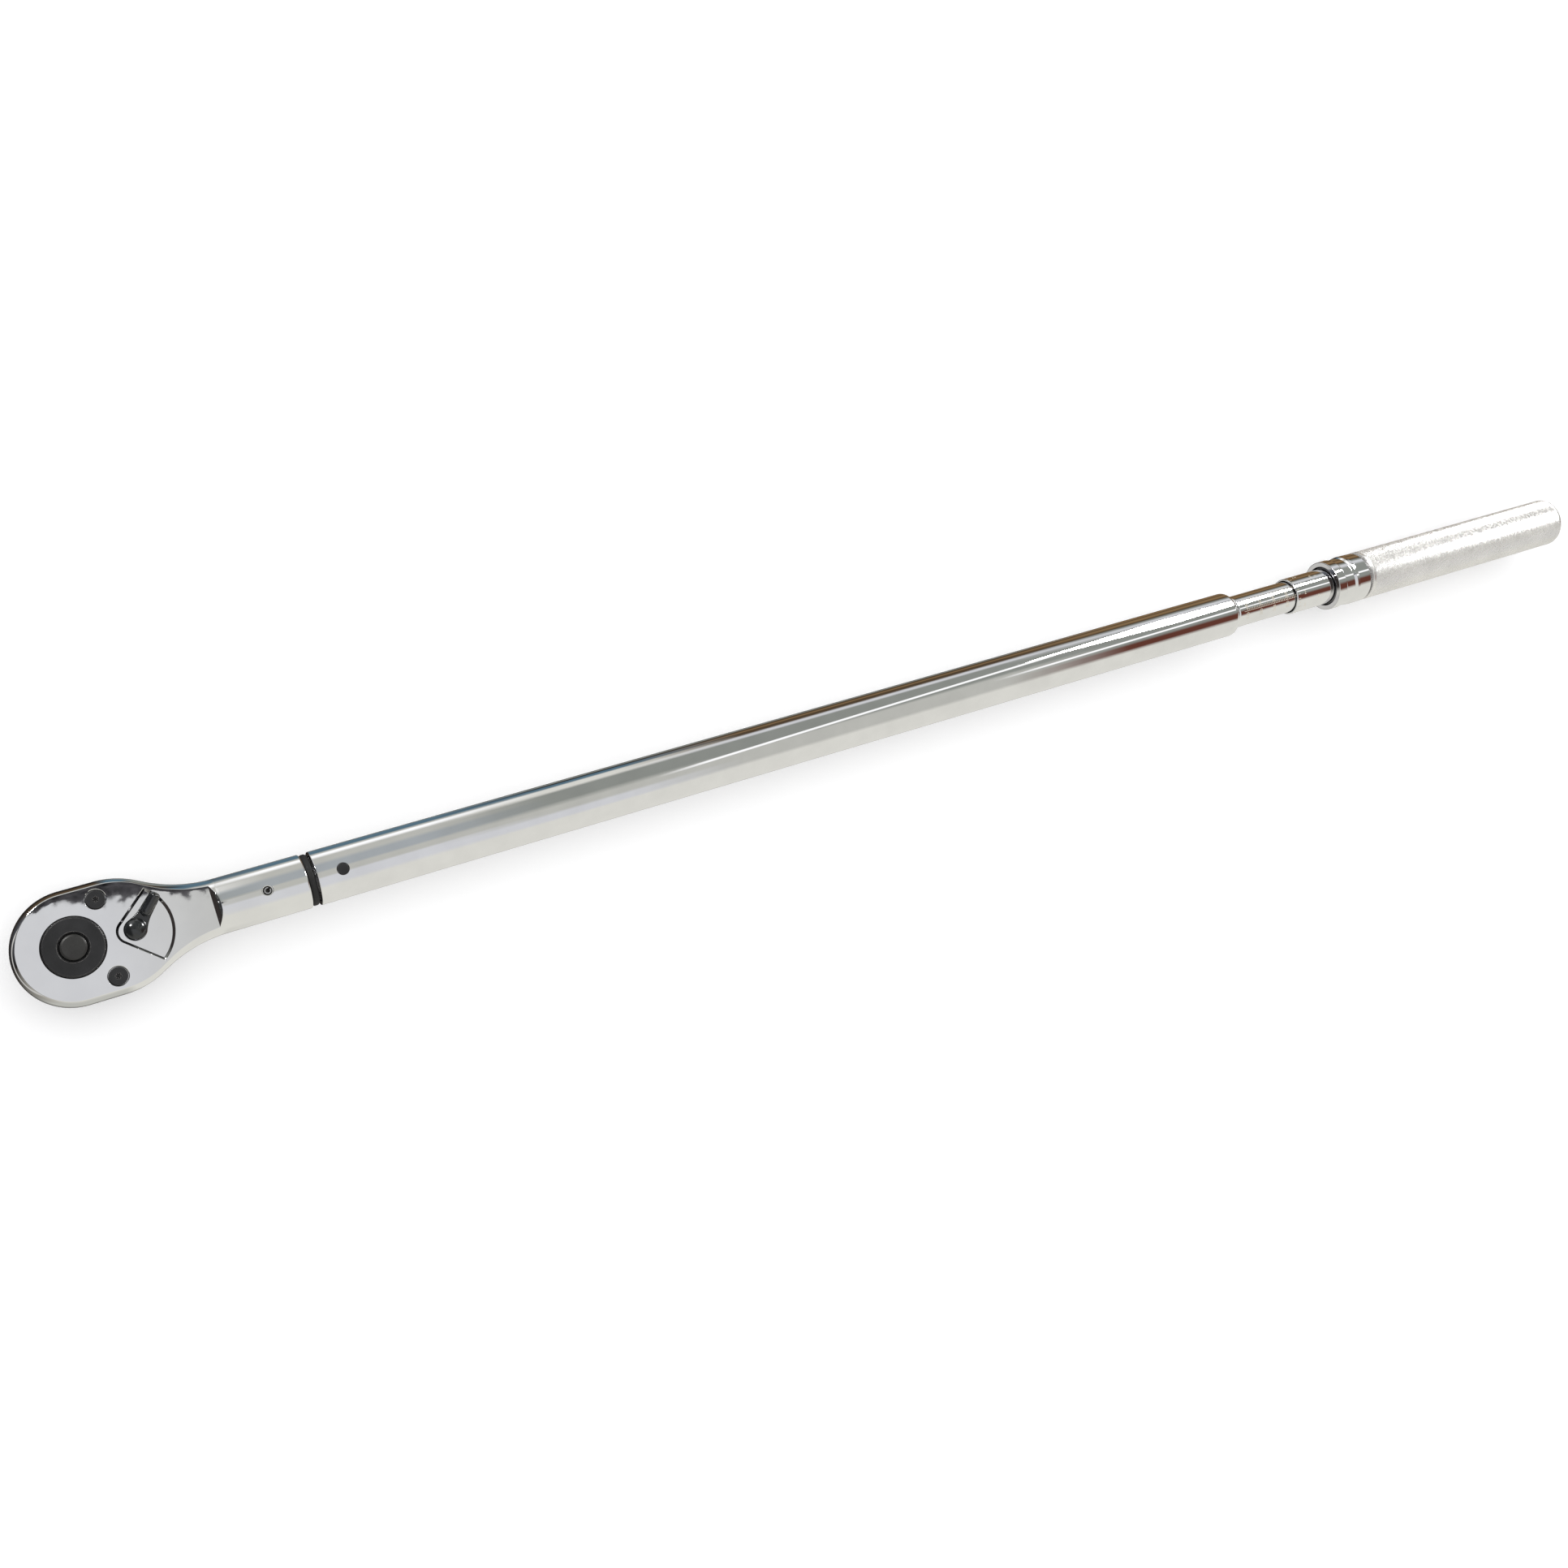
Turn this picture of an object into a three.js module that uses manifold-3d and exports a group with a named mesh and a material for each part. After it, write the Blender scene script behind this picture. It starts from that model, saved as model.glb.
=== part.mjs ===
// Micrometer torque wrench with a reversible 3/4 in square drive, in millimetres.
// Origin: where the drive axis crosses the tool's centre line. +X runs to the grip, +Z is the
// lever side of the head, and the square drive points along -Z.
import * as THREE from "three";
import { mergeVertices } from "three/addons/utils/BufferGeometryUtils.js";
import Module from "manifold-3d";

const wasm = await Module();
wasm.setup();

// ---- driving dimensions -------------------------------------------------------------------
const GAP = 0.3; // clearance between neighbouring pieces
const TUBE_R = 15.875; // main tube, 1 1/4 in outside diameter
const TUBE_WALL = 2.475;
const TUBE_START = 132;
const TUBE_END = 812.8;
const HEAD_R = 32.1; // round end of the head
const HEAD_STRAIGHT_END = 19; // where the parallel sides end
const HEAD_TOP = 10.6; // flat lever face
const HEAD_BOTTOM = -13.5; // flat drive face
const FACE_END = 74.6; // the lever face stops here and a shoulder rises to the round shank
const SHANK_START = 78.4;
const SHANK_END = 126.8;
const GEAR_R = 22.5;
const GEAR_TEETH = 36;
const HUB_R = 16.4;
const HUB_TOP = 11.9;
const SQUARE = 19.05; // 3/4 in square drive
const SQUARE_END = -37.6;
const BUTTON_R = 7;
const LEVER_X = 32.4; // lever spindle
const LEVER_REST = THREE.MathUtils.degToRad(46.6); // lever direction at rest, from +X towards +Y
const PAWL_ROCK = THREE.MathUtils.degToRad(6);
const HEAD_PIN_X = 104;
const PIVOT_X = 146.9;
const PIVOT_PIN_R = 3.5;
const TONGUE_END = 221.3;
const BLOCK_X = 226.3;
const PLUNGER_FACE = 231.3;
const SPRING_START = 262;
const SPRING_END = 560;
const BARREL_R = 11.56;
const BARREL_END = 921;
const THIMBLE_R = 13.3;
const THIMBLE_START = 869.5;
const SCREW_R = 6;
const LOCK_START = 906.9;
const LOCK_END = 939;
const GRIP_START = 941.4;
const GRIP_END = 1149;
const GRIP_R = 18.4;
const ROUND = 36; // facets round a large turned piece
const SMALL = 16; // facets round a small one

// ---- helpers ------------------------------------------------------------------------------
function solidOf(geometry) {
  const bare = geometry.index ? geometry.toNonIndexed() : geometry.clone();
  bare.deleteAttribute("normal");
  bare.deleteAttribute("uv");
  const merged = mergeVertices(bare, 1e-4);
  return new wasm.Manifold(
    new wasm.Mesh({
      numProp: 3,
      vertProperties: merged.attributes.position.array,
      triVerts: new Uint32Array(merged.index.array),
    }),
  );
}

function geometryOf(solid) {
  const mesh = solid.getMesh();
  const geometry = new THREE.BufferGeometry();
  geometry.setAttribute("position", new THREE.BufferAttribute(mesh.vertProperties, 3));
  geometry.setIndex(new THREE.BufferAttribute(mesh.triVerts, 1));
  geometry.computeVertexNormals();
  return geometry;
}

const join = (...parts) => geometryOf(parts.map(solidOf).reduce((a, b) => a.add(b)));
const cut = (body, ...tools) =>
  geometryOf(tools.map(solidOf).reduce((a, b) => a.subtract(b), solidOf(body)));
const common = (a, b) => geometryOf(solidOf(a).intersect(solidOf(b)));

// A turned solid. The profile is a list of [radius, station] pairs.
function turned(profile, facets = ROUND) {
  return new THREE.LatheGeometry(
    profile.map(([radius, station]) => new THREE.Vector2(radius, station)),
    facets,
  );
}
const alongX = (geometry) => geometry.rotateZ(-Math.PI / 2);
const alongZ = (geometry) => geometry.rotateX(Math.PI / 2);

// Profiles: a rod with chamfered ends, and a ring.
const rod = (radius, from, to, chamfer = 0.3) => [
  [0, from],
  [radius - chamfer, from],
  [radius, from + chamfer],
  [radius, to - chamfer],
  [radius - chamfer, to],
  [0, to],
];
const ring = (inner, outer, from, to) => [
  [inner, from],
  [outer, from],
  [outer, to],
  [inner, to],
  [inner, from],
];

// Stations along an arc: centre, radius, and the angles it runs between.
function arc(cx, cy, radius, from, to, steps) {
  return Array.from({ length: steps + 1 }, (_, i) => {
    const angle = from + ((to - from) * i) / steps;
    return [cx + radius * Math.cos(angle), cy + radius * Math.sin(angle)];
  });
}

const shapeOf = (points) => new THREE.Shape(points.map(([x, y]) => new THREE.Vector2(x, y)));

// A plan shape given height from one level to another.
function slab(points, from, to) {
  const geometry = new THREE.ExtrudeGeometry(shapeOf(points), {
    depth: to - from,
    bevelEnabled: false,
  });
  return geometry.translate(0, 0, from);
}

// A side shape drawn in X and Z, given width across Y.
function sideSlab(points, halfWidth) {
  const geometry = new THREE.ExtrudeGeometry(shapeOf(points), {
    depth: 2 * halfWidth,
    bevelEnabled: false,
  });
  return geometry.rotateX(Math.PI / 2).translate(0, halfWidth, 0);
}

const rodX = (radius, from, to, facets = ROUND, chamfer = 0.3) =>
  alongX(turned(rod(radius, from, to, chamfer), facets));
const rodZ = (radius, from, to, facets = SMALL, chamfer = 0) =>
  alongZ(turned(rod(radius, from, to, chamfer), facets));
const ringX = (inner, outer, from, to, facets = ROUND) =>
  alongX(turned(ring(inner, outer, from, to), facets));

class Helix extends THREE.Curve {
  constructor(radius, from, to, turns) {
    super();
    Object.assign(this, { radius, from, to, turns });
  }
  getPoint(t, target = new THREE.Vector3()) {
    const angle = 2 * Math.PI * this.turns * t;
    return target.set(
      this.from + (this.to - this.from) * t,
      this.radius * Math.cos(angle),
      this.radius * Math.sin(angle),
    );
  }
}

// A coil spring along X.
const WIRE_SIDES = 5;
function coil(meanRadius, wireRadius, from, to, turns, stepsPerTurn = 7) {
  const wire = new THREE.Shape(
    arc(0, 0, wireRadius, 0, 2 * Math.PI, WIRE_SIDES)
      .slice(0, -1)
      .map(([x, y]) => new THREE.Vector2(x, y)),
  );
  const path = new Helix(meanRadius, from + wireRadius, to - wireRadius, turns);
  return new THREE.ExtrudeGeometry(wire, {
    steps: Math.round(turns * stepsPerTurn),
    extrudePath: path,
    bevelEnabled: false,
  });
}

const finish = (color, roughness, metalness) => ({ color, roughness, metalness });
const CHROME = finish(0xdcdde2, 0.08, 1);
const STEEL = finish(0x9a9ca0, 0.35, 1);
const BLACK_STEEL = finish(0x2a2a2c, 0.45, 0.8);
const GLOSS_BLACK = finish(0x1c1d1e, 0.15, 0.6);
const SPRING_STEEL = finish(0x6d7076, 0.4, 1);
const BRASS = finish(0xb89a55, 0.35, 1);
const RUBBER = finish(0x141414, 0.8, 0);

const wrench = new THREE.Group();
wrench.name = "torque_wrench";

function piece(name, geometry, look, group = wrench) {
  const mesh = new THREE.Mesh(geometry, new THREE.MeshStandardMaterial(look));
  mesh.name = name;
  group.add(mesh);
  return mesh;
}

// ---- ratchet head -------------------------------------------------------------------------
// The forging is turned about the tool's axis and then milled flat on both sides.
const FLARE_ANGLE = THREE.MathUtils.degToRad(27.5); // slope of the sides where they narrow
const SHOULDER_R = 43.3; // convex corner after the parallel sides
const NECK_R = 73; // concave sweep into the shank
const SHANK_R = TUBE_R;


// Both arcs are given as [radius, station] pairs, the first from the sides to the slope.
const shoulderPoint = (a) => [
  HEAD_R - SHOULDER_R * (1 - Math.cos(a)),
  HEAD_STRAIGHT_END + SHOULDER_R * Math.sin(a),
];
const neckPoint = (a) => [
  SHANK_R + NECK_R * (1 - Math.cos(a)),
  SHANK_START - NECK_R * Math.sin(a),
];
const steps = (count) => Array.from({ length: count + 1 }, (_, i) => i / count);

const forging = alongX(
  turned([
    [0, -HEAD_R],
    ...arc(0, 0, HEAD_R, -Math.PI / 2, 0, 9).slice(1),
    ...steps(4).map((t) => shoulderPoint(t * FLARE_ANGLE)),
    ...steps(6).map((t) => neckPoint((1 - t) * FLARE_ANGLE)),
    [SHANK_R, SHANK_END - 0.8],
    [SHANK_R - 0.8, SHANK_END],
    [0, SHANK_END],
  ]),
);
const millAbove = sideSlab(
  [[-50, HEAD_TOP], [FACE_END, HEAD_TOP], [FACE_END + 4.4, 17], [FACE_END + 4.4, 50], [-50, 50]],
  50,
);
const millBelow = sideSlab(
  [[-50, -50], [FACE_END + 4.4, -50], [FACE_END + 4.4, -17], [FACE_END + 1.5, HEAD_BOTTOM],
    [-50, HEAD_BOTTOM]],
  50,
);

const COVER_THICK = 2.3;
const CAVITY_FLOOR = HEAD_BOTTOM + COVER_THICK + 0.2; // underside level of the cavity
const CAVITY_TOP = 4.6;
const coverOutline = (grow) => [
  ...arc(0, 0, 27.2 + grow, Math.PI / 2, 1.5 * Math.PI, 16),
  [24 + grow, -27.2 - grow],
  [52 + grow, -12],
  [52 + grow, 12],
  [24 + grow, 27.2 + grow],
];
const pawlPocket = [[15, -14], [28, -14], [36, -10.5], [41.5, -7], [41.5, 7], [36, 10.5], [28, 14],
  [15, 14]];

// The sector-shaped recess that the reversing lever swings in.
const RECESS_FLOOR = 7.4;
const RECESS_APEX = 4.5; // corner radius at its narrow end
const RECESS_HALF_ANGLE = THREE.MathUtils.degToRad(34.5);
const RECESS_REACH = 52.4;
const RECESS_ARC = 25.9;
function recessOutline() {
  const apexX = 22.5 + RECESS_APEX;
  const side = Math.PI / 2 + RECESS_HALF_ANGLE;
  const centre = RECESS_REACH - RECESS_ARC;
  const reach = Math.asin(20.5 / RECESS_ARC);
  return [
    ...arc(apexX, 0, RECESS_APEX + 3, side, 2 * Math.PI - side, 8).map(([x, y]) => [x + 3, y]),
    ...arc(centre, 0, RECESS_ARC, -reach, reach, 16),
  ];
}

const SCREW_AT = [17.3, 21.7];
const SCREW_HEAD_R = 5.05;
const SCREW_SHANK_R = 2.9;
const screwHole = (y) => [
  rodZ(SCREW_SHANK_R + 0.25, HEAD_BOTTOM - 1, HEAD_TOP + 1).translate(SCREW_AT[0], y, 0),
  rodZ(SCREW_HEAD_R + 0.35, HEAD_TOP - 3.3, HEAD_TOP + 1).translate(SCREW_AT[0], y, 0),
];
const SHANK_BORE = 10.05;
const TONGUE_R = 9.75;
const ratchetHead = cut(
  forging,
  millAbove,
  millBelow,
  slab(coverOutline(GAP), HEAD_BOTTOM - 1, CAVITY_FLOOR),
  rodZ(GEAR_R + 0.5, HEAD_BOTTOM - 1, CAVITY_TOP, ROUND),
  slab(pawlPocket, HEAD_BOTTOM - 1, CAVITY_TOP),
  rodZ(HUB_R + GAP, 0, HEAD_TOP + 5, ROUND),
  slab(recessOutline(), RECESS_FLOOR, HEAD_TOP + 1),
  rodZ(4.2, 0, HEAD_TOP).translate(LEVER_X, 0, 0),
  rodX(2.3, 38, 52, SMALL, 0).translate(0, 0, -3.2),
  rodX(SHANK_BORE, 88, SHANK_END + 1, ROUND, 0),
  rodZ(2.2, -20, 20).translate(HEAD_PIN_X, 0, 0),
  rodZ(3.05, 14, 20).translate(HEAD_PIN_X, 0, 0),
  ...screwHole(SCREW_AT[1]),
  ...screwHole(-SCREW_AT[1]),
);
piece("ratchet_head", ratchetHead, CHROME);

const NECK_OF_GEAR_R = 15.2;
const cover = cut(
  slab(coverOutline(0), HEAD_BOTTOM + 0.05, HEAD_BOTTOM + 0.05 + COVER_THICK - 0.2),
  rodZ(NECK_OF_GEAR_R + GAP, HEAD_BOTTOM - 1, 0, ROUND),
  rodZ(4.2, HEAD_BOTTOM - 1, 0).translate(LEVER_X, 0, 0),
  ...[1, -1].map((s) =>
    rodZ(SCREW_SHANK_R + 0.25, HEAD_BOTTOM - 1, 0).translate(SCREW_AT[0], s * SCREW_AT[1], 0),
  ),
);
piece("cover_plate", cover, CHROME);

// Countersunk six-lobe screw, its head flush with the lever face.
function coverScrew(y) {
  const top = HEAD_TOP - 0.15;
  const body = alongZ(
    turned(
      [
        [0, HEAD_BOTTOM + 0.1],
        [SCREW_SHANK_R, HEAD_BOTTOM + 0.1],
        [SCREW_SHANK_R, HEAD_TOP - 3],
        [SCREW_HEAD_R, HEAD_TOP - 2.6],
        [SCREW_HEAD_R, top - 0.3],
        [SCREW_HEAD_R - 0.3, top],
        [0, top],
      ],
      SMALL,
    ),
  );
  const socket = Array.from({ length: 24 }, (_, i) => {
    const angle = (2 * Math.PI * i) / 24;
    const radius = 1.95 + 0.4 * Math.cos(6 * angle);
    return [radius * Math.cos(angle), radius * Math.sin(angle)];
  });
  return cut(body, slab(socket, top - 2, top + 1)).translate(SCREW_AT[0], y, 0);
}
piece("cover_screw_upper", coverScrew(SCREW_AT[1]), BLACK_STEEL);
piece("cover_screw_lower", coverScrew(-SCREW_AT[1]), BLACK_STEEL);

// ---- drive gear with its hub and square ---------------------------------------------------
const BUTTON_BORE = 9.2;
const BUTTON_BORE_FLOOR = 6;
const STEM_BORE = 4.2;
const BALL_R = 3;
const BALL_Z = -27;
const BALL_PROUD = 1.2;
const teeth = Array.from({ length: 2 * GEAR_TEETH }, (_, i) => {
  const angle = (Math.PI * i) / GEAR_TEETH;
  const radius = i % 2 ? GEAR_R - 1.7 : GEAR_R;
  return [radius * Math.cos(angle), radius * Math.sin(angle)];
});
const half = SQUARE / 2;
const SQUARE_TOP = HEAD_BOTTOM - 1;
const EDGE = 0.8; // chamfer round the square's end
const squareBar = join(
  slab([[-half, -half], [half, -half], [half, half], [-half, half]], SQUARE_END + EDGE, SQUARE_TOP + 0.5),
  new THREE.CylinderGeometry(
    half * Math.SQRT2, (half - EDGE) * Math.SQRT2, EDGE, 4, 1,
  )
    .rotateX(Math.PI / 2)
    .rotateZ(Math.PI / 4)
    .translate(0, 0, SQUARE_END + EDGE / 2),
);
const gearBlank = join(
  slab(teeth, CAVITY_FLOOR + 0.3, CAVITY_TOP - 0.3),
  rodZ(HUB_R, 0, HUB_TOP, ROUND, 0.6),
  rodZ(NECK_OF_GEAR_R, SQUARE_TOP, 0, ROUND, 0.4),
  squareBar,
);
const driveGear = cut(
  gearBlank,
  rodZ(BUTTON_BORE, BUTTON_BORE_FLOOR, HUB_TOP + 1, ROUND),
  rodZ(STEM_BORE, SQUARE_END + 2, BUTTON_BORE_FLOOR + 1),
  rodX(BALL_R + 0.2, 0, half + 1, SMALL, 0).translate(0, 0, BALL_Z),
);
piece("drive_gear", driveGear, BLACK_STEEL);

// Button with its stem: the waist lets the ball sink when the button is pushed.
const PUSH = 2.6; // button travel
const STEM_END = -29;
const button = alongZ(
  turned(
    [
      [0, STEM_END],
      [3.9, STEM_END],
      [3.9, BALL_Z + PUSH - 2.4],
      [2.4, BALL_Z + PUSH - 1.9],
      [2.4, BALL_Z + PUSH + 1.9],
      [3.9, BALL_Z + PUSH + 2.4],
      [3.9, BUTTON_BORE_FLOOR + PUSH + 0.3],
      [BUTTON_R, BUTTON_BORE_FLOOR + PUSH + 0.3],
      [BUTTON_R, HUB_TOP - 0.4],
      [BUTTON_R - 0.8, HUB_TOP + 0.3],
      [0, HUB_TOP + 0.5],
    ],
    ROUND,
  ),
);
piece("release_button", button, BLACK_STEEL);
piece(
  "release_spring",
  coil(2.8, 0.4, SQUARE_END + 2.2, STEM_END - 0.2, 4, 8).rotateY(-Math.PI / 2),
  SPRING_STEEL,
);
const ballGeometry = (radius) => new THREE.SphereGeometry(radius, 14, 8);
piece(
  "socket_ball",
  ballGeometry(BALL_R).translate(half + BALL_PROUD - BALL_R, 0, BALL_Z),
  STEEL,
);

// ---- reversing lever and pawl -------------------------------------------------------------
// The lever is drawn along +X from its spindle and then turned to its rest direction.
const LEVER_HUB_R = 6.4;
const LEVER_REACH = 22.6;
const leverPlan = [
  ...arc(0, 0, LEVER_HUB_R, 0.42 * Math.PI, 1.58 * Math.PI, 14),
  [LEVER_REACH - 3.2, -3.4],
  ...arc(LEVER_REACH - 3.2, 0, 3.2, -Math.PI / 3, Math.PI / 3, 4),
  [LEVER_REACH - 3.2, 3.4],
];
const leverSide = [
  [-LEVER_HUB_R - 1, RECESS_FLOOR + 0.3],
  [17.5, RECESS_FLOOR + 0.3],
  [17.5, HEAD_TOP + 0.4],
  [LEVER_REACH + 1, HEAD_TOP + 0.4],
  [LEVER_REACH + 1, 14.2],
  [20.5, 14.8],
  [10.5, 13.4],
  [9, 10.4],
  [-LEVER_HUB_R - 1, 10.4],
];
const dome = alongZ(
  turned(
    [
      [0, RECESS_FLOOR + 0.5],
      [LEVER_HUB_R - 0.2, RECESS_FLOOR + 0.5],
      [LEVER_HUB_R - 0.2, 9.6],
      [5.4, 11.2],
      [3.6, 12.5],
      [1.8, 13.1],
      [0, 13.3],
    ],
    SMALL,
  ),
);
const lever = join(
  common(sideSlab(leverSide, 10), slab(leverPlan, 0, 20)),
  dome,
  rodZ(4, HEAD_BOTTOM + 0.4, 9),
);
piece("reversing_lever", lever.rotateZ(LEVER_REST).translate(LEVER_X, 0, 0), GLOSS_BLACK);

// The pawl is drawn in its middle position and rocked to the side that the lever selects.
const pawlPlan = [
  [-9, 0],
  [-9.3, -5],
  [-10, -9.2],
  [-6, -10.8],
  ...arc(0, 0, 8.2, -0.5 * Math.PI, -0.1 * Math.PI, 5),
  [7.4, -1.4],
  [8, 0],
  [7.4, 1.4],
  ...arc(0, 0, 8.2, 0.1 * Math.PI, 0.5 * Math.PI, 5),
  [-6, 10.8],
  [-10, 9.2],
  [-9.3, 5],
];
const pawl = cut(
  slab(pawlPlan, CAVITY_FLOOR + 0.3, CAVITY_TOP - 0.3),
  rodZ(4.25, -20, 20),
);
piece("pawl", pawl.rotateZ(PAWL_ROCK).translate(LEVER_X, 0, 0), STEEL);
piece("pawl_plunger", rodX(2, 41.2, 45.2, SMALL, 0.9).translate(0, 0, -3.2), STEEL);
piece("pawl_spring", coil(1.5, 0.3, 45.5, 51.7, 5).translate(0, 0, -3.2), SPRING_STEEL);

// ---- tongue bar, pins and dust ring -------------------------------------------------------
const BOSS_R = 12.6;
const tongue = cut(
  join(
    rodX(TONGUE_R, 88.5, 134, ROUND, 0.5),
    rodX(BOSS_R, 133, 159, ROUND, 1),
    new THREE.BoxGeometry(TONGUE_END - 157, 11, 16).translate((TONGUE_END + 157) / 2, 0, 0),
  ),
  rodZ(PIVOT_PIN_R + 0.1, -20, 20).translate(PIVOT_X, 0, 0),
  rodZ(2.15, -20, 20).translate(HEAD_PIN_X, 0, 0),
);
piece("tongue_bar", tongue, STEEL);

const PIN_SLIT = 0.35;
const rolledPin = slab(
  [...arc(0, 0, 2, PIN_SLIT, 2 * Math.PI - PIN_SLIT, 20),
    ...arc(0, 0, 1.1, 2 * Math.PI - PIN_SLIT, PIN_SLIT, 20)],
  -15.2,
  15.5,
);
piece("head_pin", rolledPin.translate(HEAD_PIN_X, 0, 0), STEEL);

const RING_MID = (SHANK_END + TUBE_START) / 2 - 0.3;
const dustRing = alongX(
  turned(
    [
      ...arc(0, 0, 2.1, -Math.PI / 2, Math.PI / 2, 5).map(([x, y]) => [13.2 + x, RING_MID + y]),
      [TONGUE_R + 0.15, RING_MID + 2.1],
      [TONGUE_R + 0.15, RING_MID - 2.1],
      [13.2, RING_MID - 2.1],
    ],
  ),
);
piece("dust_ring", dustRing, RUBBER);
piece("pivot_pin", rodZ(PIVOT_PIN_R, -15.6, 15.8, SMALL, 0.4).translate(PIVOT_X, 0, 0), BLACK_STEEL);

// ---- main tube ----------------------------------------------------------------------------
const TUBE_BORE = TUBE_R - TUBE_WALL;
const TUBE_CORNER = 4;
const NECK_WALL = 5.4; // the tube's mouth closes on the scale barrel
const tube = alongX(
  turned([
    [TUBE_BORE, TUBE_START],
    [TUBE_R - 0.5, TUBE_START],
    [TUBE_R, TUBE_START + 0.5],
    ...arc(TUBE_R - TUBE_CORNER, TUBE_END - TUBE_CORNER, TUBE_CORNER, 0, Math.PI / 2, 6),
    [BARREL_R + 0.2, TUBE_END],
    [BARREL_R + 0.2, TUBE_END - NECK_WALL],
    [TUBE_BORE, TUBE_END - NECK_WALL],
    [TUBE_BORE, TUBE_START],
  ]),
);
piece(
  "main_tube",
  cut(tube, rodZ(PIVOT_PIN_R + 0.15, -20, 20).translate(PIVOT_X, 0, 0)),
  CHROME,
);

// ---- click mechanism ----------------------------------------------------------------------
const BLOCK_HALF = 4.5;
const BLOCK_FLAT = 2.6; // half width of each flat between the block's rounded corners
const blockPlan = [0, 1, 2, 3].flatMap((i) => {
  const flatEnd = Math.atan2(BLOCK_FLAT, BLOCK_HALF);
  const turn = (i * Math.PI) / 2;
  const corner = Math.hypot(BLOCK_FLAT, BLOCK_HALF);
  return arc(0, 0, corner, turn + flatEnd, turn + Math.PI / 2 - flatEnd, 3);
});
piece("click_block", slab(blockPlan, -5.5, 5.5).translate(BLOCK_X, 0, 0), STEEL);

const PLUNGER_R = 10.6;
const LAND_R = 12.9; // outside radius of everything that slides in the tube
const plunger = alongX(
  turned([
    [0, PLUNGER_FACE],
    [PLUNGER_R, PLUNGER_FACE],
    [PLUNGER_R, 255.5],
    [LAND_R, 255.5],
    [LAND_R, SPRING_START - 0.4],
    [7, SPRING_START - 0.4],
    [6, SPRING_START + 6],
    [0, SPRING_START + 6],
  ]),
);
piece("plunger", plunger, STEEL);
piece("plunger_bush", ringX(PLUNGER_R + 0.1, TUBE_BORE - 0.1, 237, 254), BRASS);
piece("main_spring", coil(10.1, 2.2, SPRING_START + 1, SPRING_END, 19), SPRING_STEEL);

const PUSH_ROD_R = 6.5;
const seat = alongX(
  turned([
    [0, SPRING_END - 6],
    [6, SPRING_END - 6],
    [7, SPRING_END + 0.3],
    [LAND_R, SPRING_END + 0.3],
    [LAND_R, SPRING_END + 9],
    [0, SPRING_END + 9],
  ]),
);
piece("spring_seat", seat, STEEL);
piece("push_rod", rodX(PUSH_ROD_R, SPRING_END + 9.3, 761, SMALL, 0.8), STEEL);
piece("thrust_washer", ringX(3.2, 9.5, 761.3, 764.3, 24), BRASS);

// ---- scale barrel and adjusting thread ----------------------------------------------------
const BARREL_BORE = 8.2;
const PLUG_END = TUBE_END - NECK_WALL - GAP;
const GROOVES = 12; // the lock balls drop into these
const barrelBlank = alongX(
  turned([
    [BARREL_BORE, 771],
    [TUBE_BORE - 0.1, 771],
    [TUBE_BORE - 0.1, PLUG_END],
    [BARREL_R, PLUG_END],
    [BARREL_R, BARREL_END - 0.5],
    [BARREL_R - 0.5, BARREL_END],
    [BARREL_BORE, BARREL_END],
    [BARREL_BORE, 771],
  ]),
);
const GROOVE_START = THIMBLE_START + 2.5;
const grooves = Array.from({ length: GROOVES }, (_, i) =>
  new THREE.BoxGeometry(BARREL_END - GROOVE_START + 2, 1.6, 1.4)
    .translate((BARREL_END + GROOVE_START) / 2 + 1, 0, BARREL_R)
    .rotateX((2 * Math.PI * i) / GROOVES),
);
const BARREL_SCREW_X = 786;
const grubHole = rodZ(1.95, -20, -1, 16).translate(BARREL_SCREW_X, 0, 0);
piece("scale_barrel", cut(barrelBlank, grubHole, ...grooves), CHROME);
piece("adjusting_nut", ringX(SCREW_R + 0.1, BARREL_BORE - 0.1, 773, 801, 24), BRASS);
piece(
  "barrel_screw",
  rodZ(1.8, -TUBE_BORE + 0.4, -BARREL_BORE - 0.3, 16, 0.2).translate(BARREL_SCREW_X, 0, 0),
  BLACK_STEEL,
);

// ---- handle -------------------------------------------------------------------------------
const HUB_START = 1004; // clear of the barrel's end at full travel
const SCREW_END = 1128;
piece(
  "adjusting_screw",
  cut(rodX(SCREW_R, 764.6, SCREW_END, SMALL, 0.8), rodX(2.2, 1105, SCREW_END + 1, 16, 0)),
  STEEL,
);

const THIMBLE_END = 1003.5;
const THIMBLE_BORE = 12.2;
const LOCK_BALL_X = 925;
const LOCK_BALL_R = 2.2;
const LOCK_BALL_AT = 13.95;
const thimbleBlank = alongX(
  turned([
    [THIMBLE_BORE, THIMBLE_START],
    [THIMBLE_R - 0.4, THIMBLE_START],
    [THIMBLE_R, THIMBLE_START + 0.8],
    [THIMBLE_R, THIMBLE_END],
    [THIMBLE_BORE, THIMBLE_END],
    [THIMBLE_BORE, THIMBLE_START],
  ]),
);
const ballHole = rodZ(LOCK_BALL_R + 0.15, -20, 20, 20).rotateX(Math.PI / 2);
piece(
  "thimble",
  cut(thimbleBlank, ballHole.translate(LOCK_BALL_X, 0, 0)),
  CHROME,
);
for (const [name, side] of [["lock_ball_left", 1], ["lock_ball_right", -1]]) {
  piece(name, ballGeometry(LOCK_BALL_R).translate(LOCK_BALL_X, side * LOCK_BALL_AT, 0), STEEL);
}
piece("lock_stop_ring", ringX(THIMBLE_R + 0.1, 15.6, 921.2, 922.2), SPRING_STEEL);
piece("lock_spring", coil(15, 0.45, 928, 934.6, 2.2, 18), SPRING_STEEL);

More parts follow.
